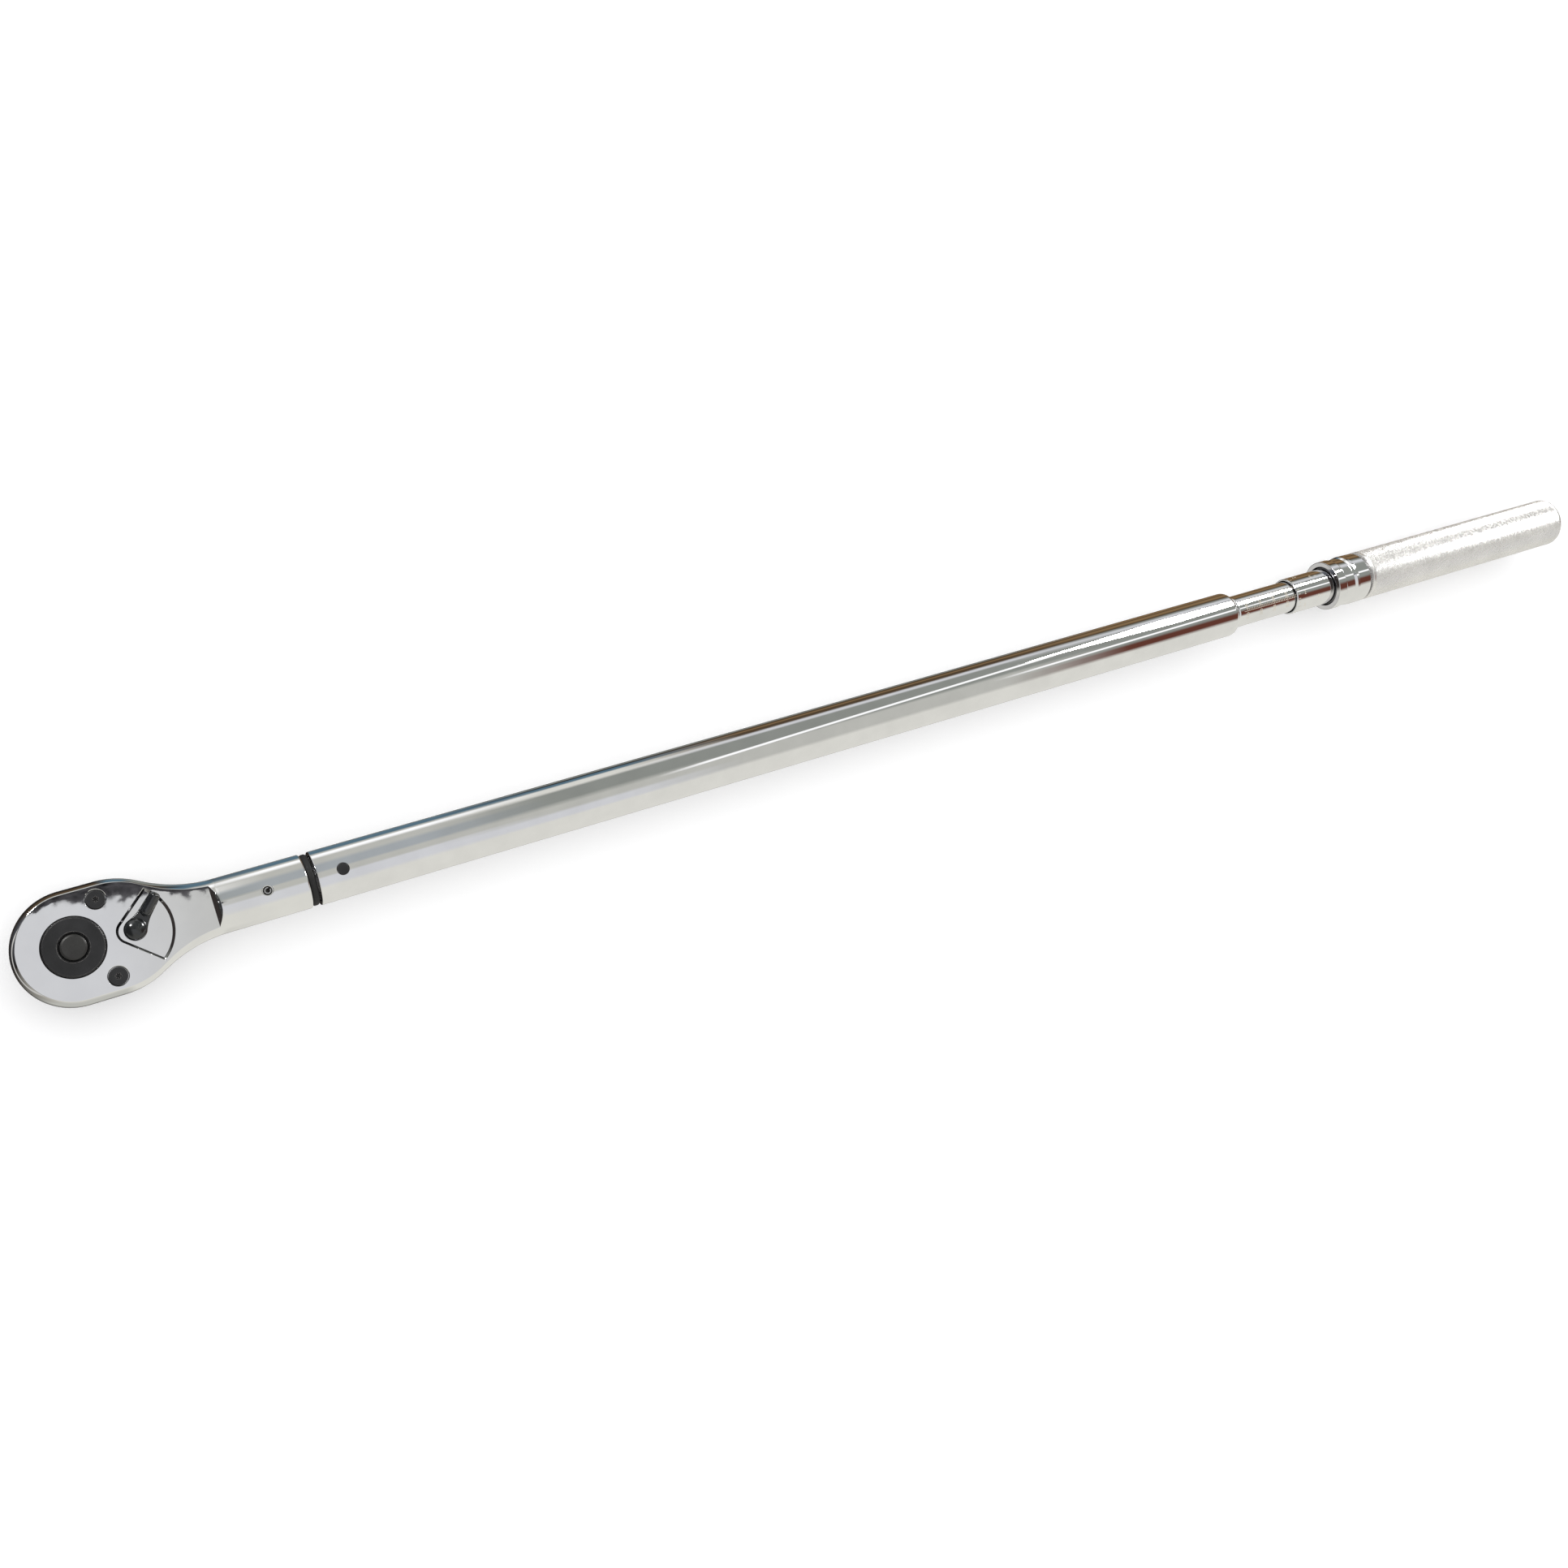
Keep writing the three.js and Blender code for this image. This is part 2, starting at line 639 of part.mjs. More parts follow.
// Lock ring: a flange, a waist, and a rounded bead that the fingers push.
const CAM_R = 16.4; // hollow that holds the balls and the spring
const lockRing = alongX(
  turned([
    [14.8, LOCK_START],
    [17.7, LOCK_START],
    [18.3, LOCK_START + 0.6],
    [18.3, 914.6],
    [17.4, 919.6],
    [17.4, 922.8],
    [18.2, 925],
    [18.5, 927.8],
    [18.4, 932],
    [18.1, LOCK_END - 0.5],
    [17.6, LOCK_END],
    [THIMBLE_R + 0.35, LOCK_END],
    [THIMBLE_R + 0.35, 935],
    [CAM_R, 935],
    [CAM_R, 920.9],
    [14.8, 919.3],
    [14.8, LOCK_START],
  ]),
);
piece("lock_ring", lockRing, CHROME);

const GRIP_BORE = THIMBLE_R + 0.1;
const GRIP_CORNER = 3;
const grip = alongX(
  turned([
    [GRIP_BORE, GRIP_START],
    ...arc(GRIP_R - GRIP_CORNER, GRIP_START + GRIP_CORNER, GRIP_CORNER, -Math.PI / 2, 0, 3),
    ...arc(GRIP_R - GRIP_CORNER, GRIP_END - GRIP_CORNER, GRIP_CORNER, 0, Math.PI / 2, 3),
    [GRIP_BORE, GRIP_END],
    [GRIP_BORE, GRIP_START],
  ]),
);
piece("grip", grip, CHROME);
piece("handle_hub", ringX(SCREW_R + 0.1, GRIP_BORE - 0.1, HUB_START, HUB_START + 30, 24), STEEL);

const CAP_START = 1134;
piece(
  "end_cap",
  cut(rodX(GRIP_BORE - 0.1, CAP_START, GRIP_END - 0.4, ROUND, 0.5),
    rodX(2.3, CAP_START - 1, GRIP_END + 1, 16, 0),
    rodX(4.6, GRIP_END - 5, GRIP_END + 1, SMALL, 0)),
  STEEL,
);
const hexagon = arc(0, 0, 2.3, 0, 2 * Math.PI, 6).slice(0, -1);
piece(
  "end_screw",
  cut(
    alongX(
      turned([[0, 1107], [2, 1107], [2, GRIP_END - 4.7], [4.3, GRIP_END - 4.7],
        [4.3, GRIP_END - 0.9], [0, GRIP_END - 0.9]], SMALL),
    ),
    slab(hexagon, -0.1, 2.6).rotateY(Math.PI / 2).translate(GRIP_END - 3.4, 0, 0),
  ),
  BLACK_STEEL,
);

export default wrench;
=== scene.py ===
import math

import bmesh
import bpy
from mathutils import Matrix, Vector


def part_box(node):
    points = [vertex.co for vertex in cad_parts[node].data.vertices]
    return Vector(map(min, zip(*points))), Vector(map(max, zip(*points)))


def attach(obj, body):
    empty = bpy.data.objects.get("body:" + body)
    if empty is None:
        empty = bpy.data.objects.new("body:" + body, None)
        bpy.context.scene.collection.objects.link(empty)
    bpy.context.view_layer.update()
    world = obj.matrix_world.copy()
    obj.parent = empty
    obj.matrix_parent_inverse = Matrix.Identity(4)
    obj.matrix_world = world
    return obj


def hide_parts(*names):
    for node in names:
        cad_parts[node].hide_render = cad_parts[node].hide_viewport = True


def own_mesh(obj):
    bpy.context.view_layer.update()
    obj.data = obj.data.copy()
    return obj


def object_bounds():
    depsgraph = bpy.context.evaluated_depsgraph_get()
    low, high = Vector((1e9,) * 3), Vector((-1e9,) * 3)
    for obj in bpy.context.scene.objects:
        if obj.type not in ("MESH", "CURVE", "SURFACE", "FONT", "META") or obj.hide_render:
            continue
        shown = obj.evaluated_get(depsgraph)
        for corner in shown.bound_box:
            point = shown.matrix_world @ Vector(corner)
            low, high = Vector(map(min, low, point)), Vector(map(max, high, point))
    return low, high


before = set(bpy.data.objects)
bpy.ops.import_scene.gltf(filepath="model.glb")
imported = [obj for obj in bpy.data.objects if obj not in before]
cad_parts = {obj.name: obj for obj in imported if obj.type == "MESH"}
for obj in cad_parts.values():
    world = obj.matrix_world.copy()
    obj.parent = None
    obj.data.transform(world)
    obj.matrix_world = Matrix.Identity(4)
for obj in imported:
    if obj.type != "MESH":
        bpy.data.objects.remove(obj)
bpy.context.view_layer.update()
MM = 0.001


# ---- places read from the frame, in metres -------------------------------------------------
def low(node, axis):
    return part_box(node)[0][axis]


def high(node, axis):
    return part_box(node)[1][axis]


X, Y, Z = 0, 1, 2
TUBE_R = high("main_tube", Z)
TUBE_START = low("main_tube", X)
TUBE_END = high("main_tube", X)
HEAD_R = high("ratchet_head", Y)
SHANK_END = high("ratchet_head", X)
SHANK_R = TUBE_R
HEAD_BOTTOM = low("cover_plate", Z) - 0.05 * MM
FACE_TOP = high("cover_screw_upper", Z) + 0.15 * MM
SCREW_X = (low("cover_screw_upper", X) + high("cover_screw_upper", X)) / 2
SCREW_Y = (low("cover_screw_upper", Y) + high("cover_screw_upper", Y)) / 2
LEVER_X = 32.4 * MM
BUTTON_R = high("release_button", Y)
BUTTON_TOP = high("release_button", Z)
HUB_R = 16.4 * MM
HUB_TOP = high("drive_gear", Z)
SQUARE_END = low("drive_gear", Z)
HALF_SQUARE = 9.525 * MM
PIN_X = (low("head_pin", X) + high("head_pin", X)) / 2
PIVOT_X = (low("pivot_pin", X) + high("pivot_pin", X)) / 2
PIVOT_R = (high("pivot_pin", X) - low("pivot_pin", X)) / 2
BARREL_R = 11.56 * MM
BARREL_START = low("scale_barrel", X)
BARREL_END = high("scale_barrel", X)
THIMBLE_START = low("thimble", X)
THIMBLE_END = high("thimble", X)
THIMBLE_R = high("thimble", Z)
LOCK_START = low("lock_ring", X)
LOCK_END = high("lock_ring", X)
GRIP_START = low("grip", X)
GRIP_END = high("grip", X)
GRIP_R = high("grip", Z)
RING_START = low("dust_ring", X)
RING_END = high("dust_ring", X)
RING_R = high("dust_ring", Z)


# ---- material building blocks --------------------------------------------------------------
class Nodes:
    """A short way to add and wire shader nodes."""

    def __init__(self, tree):
        self.tree = tree
        tree.nodes.clear()

    def add(self, kind, **settings):
        node = self.tree.nodes.new(kind)
        for key, value in settings.items():
            if hasattr(node, key):
                setattr(node, key, value)
            else:
                node.inputs[key.replace("_", " ")].default_value = value
        return node

    def link(self, source, target):
        self.tree.links.new(source, target)

    def ramp(self, source, stops, smooth="LINEAR"):
        node = self.add("ShaderNodeValToRGB")
        node.color_ramp.interpolation = smooth
        elements = node.color_ramp.elements
        while len(elements) < len(stops):
            elements.new(0.5)
        for element, (place, colour) in zip(elements, stops):
            element.position = place
            element.color = (*colour, 1) if len(colour) == 3 else colour
        self.link(source, node.inputs[0])
        return node.outputs[0]

    def math(self, operation, first, second=None):
        node = self.add("ShaderNodeMath", operation=operation)
        for i, value in enumerate((first, second)):
            if value is None:
                continue
            if isinstance(value, (int, float)):
                node.inputs[i].default_value = value
            else:
                self.link(value, node.inputs[i])
        return node.outputs[0]

    def spread(self, source, to_low, to_high, from_low=0.3, from_high=0.7):
        node = self.add("ShaderNodeMapRange")
        for i, value in enumerate((from_low, from_high, to_low, to_high)):
            node.inputs[i + 1].default_value = value
        self.link(source, node.inputs[0])
        return node.outputs[0]

    def noise(self, scale, detail=3.0, stretch=(1, 1, 1)):
        place = self.add("ShaderNodeTexCoord").outputs["Object"]
        mapping = self.add("ShaderNodeMapping")
        mapping.inputs["Scale"].default_value = stretch
        self.link(place, mapping.inputs["Vector"])
        node = self.add("ShaderNodeTexNoise")
        node.inputs["Scale"].default_value = scale
        node.inputs["Detail"].default_value = detail
        self.link(mapping.outputs[0], node.inputs["Vector"])
        return node.outputs[0]

    def mix(self, factor, first, second):
        node = self.add("ShaderNodeMix", data_type="RGBA")
        if isinstance(factor, (int, float)):
            node.inputs[0].default_value = factor
        else:
            self.link(factor, node.inputs[0])
        for slot, value in ((6, first), (7, second)):
            if isinstance(value, tuple):
                node.inputs[slot].default_value = (*value, 1)
            else:
                self.link(value, node.inputs[slot])
        return node.outputs[2]


def grey(value, tint=(1, 1, 1)):
    """Linear colour from an sRGB level of 0 to 255, with an optional tint."""
    level = value / 255
    linear = level / 12.92 if level <= 0.04045 else ((level + 0.055) / 1.055) ** 2.4
    return tuple(linear * t for t in tint)


def metal(name, dark, light, rough, grain=400, stretch=(1, 1, 1), bump=0.02, fine=2500, wear=None):
    """Metal with cloudy colour, uneven polish, a fine grain in its surface and lighter edges."""
    material = bpy.data.materials.new(name)
    material.use_nodes = True
    n = Nodes(material.node_tree)
    shader = n.add("ShaderNodeBsdfPrincipled", Metallic=1.0)
    cloud = n.noise(60, 4)
    colour = n.mix(n.spread(cloud, 0, 1), dark, light)
    if wear:
        rounded = n.add("ShaderNodeBevel", samples=4, Radius=0.35 * MM).outputs[0]
        face = n.add("ShaderNodeNewGeometry").outputs["Normal"]
        apart = n.add("ShaderNodeVectorMath", operation="DOT_PRODUCT")
        n.link(rounded, apart.inputs[0])
        n.link(face, apart.inputs[1])
        rubbed = n.math("MULTIPLY", n.spread(apart.outputs["Value"], 1, 0, 0.90, 0.995),
            n.spread(n.noise(900), 0.3, 1))
        colour = n.mix(rubbed, colour, wear)
    n.link(colour, shader.inputs["Base Color"])
    marks = n.noise(grain, 5, stretch)
    n.link(n.spread(marks, rough[0], rough[1]), shader.inputs["Roughness"])
    relief = n.add("ShaderNodeBump", Strength=bump)
    relief.inputs["Distance"].default_value = 0.05 * MM
    n.link(n.noise(fine, 4, stretch), relief.inputs["Height"])
    n.link(relief.outputs[0], shader.inputs["Normal"])
    output = n.add("ShaderNodeOutputMaterial")
    n.link(shader.outputs[0], output.inputs[0])
    return material


def coating(name, dark, light, rough, bump, grain=1500, coat=0.0, metallic=0.0, wear=None):
    """A painted, oxide or rubber surface with mottling and a fine texture."""
    material = metal(name, dark, light, rough, grain, (1, 1, 1), bump, grain, wear)
    shader = next(x for x in material.node_tree.nodes if x.type == "BSDF_PRINCIPLED")
    shader.inputs["Metallic"].default_value = metallic
    shader.inputs["Coat Weight"].default_value = coat
    shader.inputs["Coat Roughness"].default_value = 0.08
    return material


ALONG = (0.04, 1, 1)
CHROME = metal("chrome_plate", (0.87, 0.87, 0.88), (0.93, 0.93, 0.94), (0.015, 0.045), 300, bump=0.006)
FACE_CHROME = metal("chrome_face", (0.88, 0.88, 0.885), (0.93, 0.93, 0.93), (0.008, 0.024), 250, bump=0.004)
# dark chrome for the lever recess's sloping walls: painted shade and a painted dark reflection in place of
# what the walls would mirror
PAINTED_SHADE_CHROME = metal("chrome_painted_recess_shade", (0.015, 0.014, 0.018), (0.09, 0.085, 0.10), (0.08, 0.2), 900,
    bump=0.05)
KNURL = metal("knurled_chrome", (0.80, 0.785, 0.77), (0.90, 0.885, 0.865), (0.2, 0.34), 500, bump=0.05)
GROUND = metal("ground_steel", (0.46, 0.46, 0.47), (0.62, 0.62, 0.63), (0.22, 0.4), 600, ALONG, 0.15)
SPRING = metal("spring_steel", (0.20, 0.20, 0.21), (0.34, 0.34, 0.35), (0.25, 0.45), 800, bump=0.1)
BRASS = metal("machined_brass", (0.60, 0.44, 0.19), (0.76, 0.60, 0.30), (0.18, 0.35), 700, bump=0.1)
KNURL.node_tree.nodes["Principled BSDF"].inputs["Metallic"].default_value = 0.75  # softer than plain chrome
OXIDE = coating("black_oxide", (0.012, 0.012, 0.013), (0.026, 0.026, 0.028), (0.36, 0.52), 0.25,
    metallic=0.3, wear=(0.34, 0.32, 0.31))
SATIN = coating("satin_black", (0.030, 0.029, 0.028), (0.048, 0.047, 0.045), (0.34, 0.46), 0.2,
    metallic=0.4, wear=(0.2, 0.19, 0.18))
GLOSS = coating("gloss_black", (0.008, 0.009, 0.010), (0.020, 0.022, 0.024), (0.12, 0.22), 0.06,
    coat=0.6, metallic=0.2, wear=(0.08, 0.08, 0.08))
RUBBER = coating("black_rubber", (0.006, 0.006, 0.006), (0.014, 0.014, 0.014), (0.55, 0.8), 0.5)
ETCH = coating("etched_marks", (0.52, 0.46, 0.36), (0.72, 0.66, 0.54), (0.5, 0.7), 0.3)


# ---- mesh building blocks ------------------------------------------------------------------
def placed(name, data):
    obj = bpy.data.objects.new(name, data)
    bpy.context.scene.collection.objects.link(obj)
    return obj


def make(name, verts, faces):
    mesh = bpy.data.meshes.new(name)
    mesh.from_pydata([tuple(v) for v in verts], [], faces)
    mesh.update()
    return placed(name, mesh)


def outward(obj):
    """Turns every face of a closed shape to the outside."""
    shape = bmesh.new()
    shape.from_mesh(obj.data)
    bmesh.ops.remove_doubles(shape, verts=shape.verts, dist=1e-7)
    bmesh.ops.recalc_face_normals(shape, faces=shape.faces)
    if shape.calc_volume(signed=True) < 0:
        bmesh.ops.reverse_faces(shape, faces=shape.faces)
    shape.to_mesh(obj.data)
    shape.free()
    return obj


def finish(obj, material, body, *stands_for, angle=38, slot=None):
    """Smooth shading with crisp edges, a material, and a body to ride on."""
    obj.data.shade_smooth()
    obj.data.set_sharp_from_angle(angle=math.radians(angle))
    weighted = obj.modifiers.new("even_normals", "WEIGHTED_NORMAL")
    weighted.weight = 100
    weighted.keep_sharp = True
    obj.data.materials.clear()
    obj.data.materials.append(material)
    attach(obj, body)
    if stands_for:
        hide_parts(*stands_for)
    return obj


def filleted(corners, closed, steps=4):
    """A profile with its corners rounded. Corners are (station, radius, fillet)."""
    points = []
    count = len(corners)
    for i, (x, r, fillet) in enumerate(corners):
        here = Vector((x, r))
        if fillet == 0 or (not closed and i in (0, count - 1)):
            points.append(here)
            continue
        before = Vector(corners[i - 1][:2]) - here
        after = Vector(corners[(i + 1) % count][:2]) - here
        half = before.angle(after) / 2
        if half > math.radians(88):
            points.append(here)
            continue
        reach = fillet / math.tan(half)
        first = here + before.normalized() * reach
        last = here + after.normalized() * reach
        centre = here + (before.normalized() + after.normalized()).normalized() * (fillet / math.sin(half))
        start = first - centre
        turn = start.angle_signed(last - centre)
        for k in range(steps + 1):
            points.append(centre + Matrix.Rotation(-turn * k / steps, 2) @ start)
    return points


def band(first, second, count):
    """Faces between two closed rings of vertices, given where each ring starts."""
    faces = []
    for k in range(count):
        m = (k + 1) % count
        faces.append((first + k, first + m, second + m, second + k))
    return faces


def turned(name, corners, sides=128, about="X", steps=4):
    """A turned solid. A profile that leaves the axis closes on itself as a ring."""
    closed = corners[0][1] > 0
    points = filleted(corners, closed, steps)
    verts = []
    for x, r in points:
        for k in range(sides):
            a = 2 * math.pi * k / sides
            c, s = r * math.cos(a), r * math.sin(a)
            verts.append((x, c, s) if about == "X" else (c, s, x))
    rows = len(points)
    faces = []
    for i in range(rows if closed else rows - 1):
        faces += band(i * sides, (i + 1) % rows * sides, sides)
    obj = make(name, verts, faces)
    merged(obj)
    return outward(obj)


def merged(obj):
    """Joins vertices that share a place and drops the faces that vanish with them."""
    work = bmesh.new()
    work.from_mesh(obj.data)
    bmesh.ops.remove_doubles(work, verts=work.verts, dist=1e-7)
    bmesh.ops.dissolve_degenerate(work, edges=work.edges, dist=1e-7)
    work.to_mesh(obj.data)
    work.free()


def rod(name, radius, start, end, sides=64, about="Z"):
    return turned(name, [(start, 0, 0), (start, radius, 0), (end, radius, 0), (end, 0, 0)], sides, about)


def prism(name, outline, levels):
    """A plan outline raised through levels: (height, growth) pairs, growth widening the outline."""
    count = len(outline)
    verts = []
    normals = []
    for i in range(count):
        before = Vector(outline[i - 1])
        here = Vector(outline[i])
        after = Vector(outline[(i + 1) % count])
        edge_in = (here - before).normalized()
        edge_out = (after - here).normalized()
        mean = Vector((edge_in.y + edge_out.y, -edge_in.x - edge_out.x))
        mean.normalize()
        cosine = max(0.5, mean.dot(Vector((edge_in.y, -edge_in.x))))
        normals.append(mean / cosine)
    for height, growth in levels:
        for point, normal in zip(outline, normals):
            verts.append((point[0] + normal.x * growth, point[1] + normal.y * growth, height))
    faces = [tuple(range(count))[::-1]]
    top = (len(levels) - 1) * count
    faces.append(tuple(range(top, top + count)))
    for level in range(len(levels) - 1):
        faces += band(level * count, (level + 1) * count, count)
    return outward(make(name, verts, faces))


def arc_points(cx, cy, radius, start, end, steps):
    for k in range(steps + 1):
        a = start + (end - start) * k / steps
        yield (cx + radius * math.cos(a), cy + radius * math.sin(a))


def carve(obj, operation, *tools):
    """Joins or cuts with other meshes, which are used up."""
    for tool in tools:
        change = obj.modifiers.new("carve", "BOOLEAN")
        change.operation = operation
        change.solver = "EXACT"
        change.object = tool
        graph = bpy.context.evaluated_depsgraph_get()
        mesh = bpy.data.meshes.new_from_object(obj.evaluated_get(graph))
        obj.modifiers.clear()
        obj.data = mesh
        bpy.data.objects.remove(tool)
    return obj


def moved(obj, x=0.0, y=0.0, z=0.0, turn=0.0):
    obj.data.transform(Matrix.Translation((x, y, z)) @ Matrix.Rotation(turn, 4, "Z"))
    return obj


# ---- ratchet head --------------------------------------------------------------------------
STRAIGHT_END = 19 * MM
SHOULDER_R = 43.3 * MM
NECK_R = 73 * MM
NECK_END = 78.4 * MM
SLOPE = math.radians(27.5)
FACE_END = 74.6 * MM
FACE_EDGE = 0.9 * MM  # rounding where the drive face meets the curved side
TOP_EDGE = 0.45 * MM
RAMP = 3.8 * MM


def side_radius(x):
    """Half width of the head, which is turned about the tool's axis."""
    if x < 0:
        return math.sqrt(max(HEAD_R**2 - x * x, 0))
    if x < STRAIGHT_END:
        return HEAD_R
    shoulder_end = STRAIGHT_END + SHOULDER_R * math.sin(SLOPE)
    neck_start = NECK_END - NECK_R * math.sin(SLOPE)
    if x < shoulder_end:
        return HEAD_R - SHOULDER_R + math.sqrt(SHOULDER_R**2 - (x - STRAIGHT_END) ** 2)
    if x < neck_start:
        at_shoulder = HEAD_R - SHOULDER_R * (1 - math.cos(SLOPE))
        at_neck = SHANK_R + NECK_R * (1 - math.cos(SLOPE))
        t = (x - shoulder_end) / (neck_start - shoulder_end)
        return at_shoulder + (at_neck - at_shoulder) * t
    if x < NECK_END:
        return SHANK_R + NECK_R - math.sqrt(NECK_R**2 - (NECK_END - x) ** 2)
    return SHANK_R


def face_level(x, flat):
    """Height of a milled face at a station: flat, then a hollow ramp up to the round shank."""
    if x <= FACE_END:
        return flat
    t = min(1.0, (x - FACE_END) / RAMP)
    return flat + (SHANK_R - flat) * t ** 0.8


def side_swell(x):
    """How much flatter than round the side is above the tool's axis."""
    return 0.785 + 0.215 * min(1.0, max(0.0, (x - 20 * MM) / (50 * MM)))


def corner_section(radius, level, edge, swell=1.0):
    """Half a section from the middle of a flat to the side: a flat, a rounding, an arc."""
    flat_steps, round_steps, arc_steps = 10, 5, 26
    level = min(level / swell, radius)
    rounding = min(edge, (radius - level) * 0.9)
    if rounding < 0.01 * MM:
        points = [(0.0, radius)] * (flat_steps + round_steps)
        tangent = 0.0
    else:
        centre_z = level - rounding
        centre_y = math.sqrt((radius - rounding) ** 2 - centre_z**2)
        tangent = math.atan2(centre_y, centre_z)
        points = [(centre_y * k / flat_steps, level) for k in range(flat_steps)]
        for k in range(round_steps):
            a = tangent * k / round_steps
            points.append((centre_y + rounding * math.sin(a), centre_z + rounding * math.cos(a)))
    for k in range(arc_steps + 1):
        a = tangent + (math.pi / 2 - tangent) * k / arc_steps
        points.append((radius * math.sin(a), radius * math.cos(a)))
    return [(y, z * swell) for y, z in points]


def half_ring(radius, top, bottom, swell=1.0):
    """From the top centre down one side to the bottom centre, as (out, up) pairs."""
    upper = corner_section(radius, top, TOP_EDGE, swell)
    lower = [(y, -z) for y, z in corner_section(radius, bottom, FACE_EDGE)]
    return upper + lower[-2::-1]


def forging():
    """The round end is turned about the drive axis, the rest is swept along the tool."""
    rows = []
    start = half_ring(HEAD_R, FACE_TOP, -HEAD_BOTTOM, side_swell(0))
    fan = 64
    for k in range(fan + 1):
        a = math.pi / 2 + math.pi * k / fan
        rows.append([(out * math.cos(a), out * math.sin(a), up) for out, up in start])
    verts, faces = [], []
    for row in rows:
        verts += row
    n = len(start)
    for k in range(fan):
        for i in range(n - 1):
            a, b = k * n + i, (k + 1) * n + i
            faces.append((a, b, b + 1, a + 1))
    stations = [STRAIGHT_END * k / 4 for k in range(4)]
    stations += [STRAIGHT_END + (FACE_END - STRAIGHT_END) * k / 48 for k in range(48)]
    stations += [FACE_END + RAMP * k / 12 for k in range(13)]
    stations += [FACE_END + RAMP + 1 * MM, SHANK_END - 0.8 * MM]
    ends = [(SHANK_END - 0.4 * MM, 0.15 * MM), (SHANK_END - 0.1 * MM, 0.45 * MM), (SHANK_END, 0.9 * MM)]
    loops = []
    for x in stations:
        ring = half_ring(side_radius(x), face_level(x, FACE_TOP), face_level(x, -HEAD_BOTTOM), side_swell(x))
        loops.append([(x, y, z) for y, z in ring] + [(x, -y, z) for y, z in ring[-2:0:-1]])
    for x, less in ends:
        ring = half_ring(SHANK_R - less, SHANK_R * 2, SHANK_R * 2)
        loops.append([(x, y, z) for y, z in ring] + [(x, -y, z) for y, z in ring[-2:0:-1]])
    base = len(verts)
    m = len(loops[0])
    for loop in loops:
        verts += loop
    for k in range(len(loops) - 1):
        faces += band(base + k * m, base + (k + 1) * m, m)
    last = base + (len(loops) - 1) * m
    faces.append(tuple(range(last, last + m)))
    shell = make("head_forging", verts, faces)
    merged(shell)
    return outward(shell)


COVER_R = 27.2 * MM
RECESS_FLOOR = 7.4 * MM
APEX_X, APEX_R = 22.5 * MM, 7.0 * MM
RECESS_ANGLE = math.radians(36.5)
RECESS_REACH, RECESS_ARC = 52.4 * MM, 25.9 * MM


def recess_outline():
    side = math.pi / 2 + RECESS_ANGLE
    centre = RECESS_REACH - RECESS_ARC
    reach = math.asin(20.5 * MM / RECESS_ARC)
    points = list(arc_points(APEX_X + APEX_R, 0, APEX_R, side, 2 * math.pi - side, 16))
    points += list(arc_points(centre, 0, RECESS_ARC, -reach, reach, 36))
    return points


def inside(x, y, outline):
    """Whether a plan point lies within a closed outline."""
    within = False
    for (ax, ay), (bx, by) in zip(outline, outline[1:] + outline[:1]):
        if (ay > y) != (by > y) and x < ax + (bx - ax) * (y - ay) / (by - ay):
            within = not within
    return within


def hole(name, radius, bottom, top, rim=0.35 * MM, sides=64):
    """A cutter for a round hole in the lever face, with a small chamfer at its mouth."""
    return turned(name,
        [(bottom, 0, 0), (bottom, radius, 0), (FACE_TOP - rim, radius, 0), (FACE_TOP, radius + rim, 0),
        (top, radius + rim + 1 * MM, 0), (top, 0, 0)], sides, "Z",)


def build_head():
    head = forging()
    recess = prism("recess_cut", recess_outline(),
        [(RECESS_FLOOR, -1.15 * MM), (RECESS_FLOOR + 0.3 * MM, -0.85 * MM),
        (FACE_TOP - 0.3 * MM, 0), (FACE_TOP, 0.3 * MM), (FACE_TOP + 2 * MM, 2.3 * MM)])
    tools = [recess, hole("hub_cut", HUB_R + 0.3 * MM, -8 * MM, 20 * MM, 0.3 * MM, 128),
        moved(hole("lever_cut", 4.2 * MM, 0, 9 * MM, 0.0), x=LEVER_X),
        rod("bore_cut", 10.05 * MM, 88 * MM, 140 * MM, 64, "X"),
        moved(hole("pin_cut", 2.2 * MM, -20 * MM, 20 * MM, 0.0, 32), x=PIN_X),
        moved(turned("pin_mouth", [(14.4 * MM, 0, 0), (14.4 * MM, 3.0 * MM, 0), (15.6 * MM, 3.05 * MM, 0),
        (17 * MM, 4.0 * MM, 0), (17 * MM, 0, 0)], 48, "Z"), x=PIN_X),]
    for side in (1, -1):
        tools.append(moved(hole("screw_cut", 5.2 * MM, FACE_TOP - 3.3 * MM, 14 * MM, 0.55 * MM),
            x=SCREW_X, y=side * SCREW_Y))
        tools.append(moved(rod("shank_cut", 3.15 * MM, -20 * MM, 9 * MM, 32), x=SCREW_X, y=side * SCREW_Y))
    tools.append(prism("cover_cut", cover_outline(), [(HEAD_BOTTOM - 5 * MM, 0.2 * MM),
        (HEAD_BOTTOM + 2.5 * MM, 0.2 * MM)]))
    tools.append(rod("cavity_cut", 23 * MM, HEAD_BOTTOM - 5 * MM, 4.6 * MM, 96))
    carve(head, "DIFFERENCE", *tools)
    finish(head, FACE_CHROME, "head", "ratchet_head", angle=32)
    # the recess's sloping walls take the dark chrome, a painted shade and dark reflection on the plating
    head.data.materials.append(PAINTED_SHADE_CHROME)
    outline = recess_outline()
    for face in head.data.polygons:
        middle = face.center
        sloping = face.normal.x > 0.1 and 0.1 < face.normal.z < 0.9
        if sloping and middle.z > RECESS_FLOOR and inside(middle.x, middle.y, outline):
            face.material_index = 1


def cover_outline():
    points = list(arc_points(0, 0, COVER_R, math.pi / 2, 1.5 * math.pi, 40))
    points += [(24 * MM, -COVER_R), (52 * MM, -12 * MM), (52 * MM, 12 * MM), (24 * MM, COVER_R)]
    return points


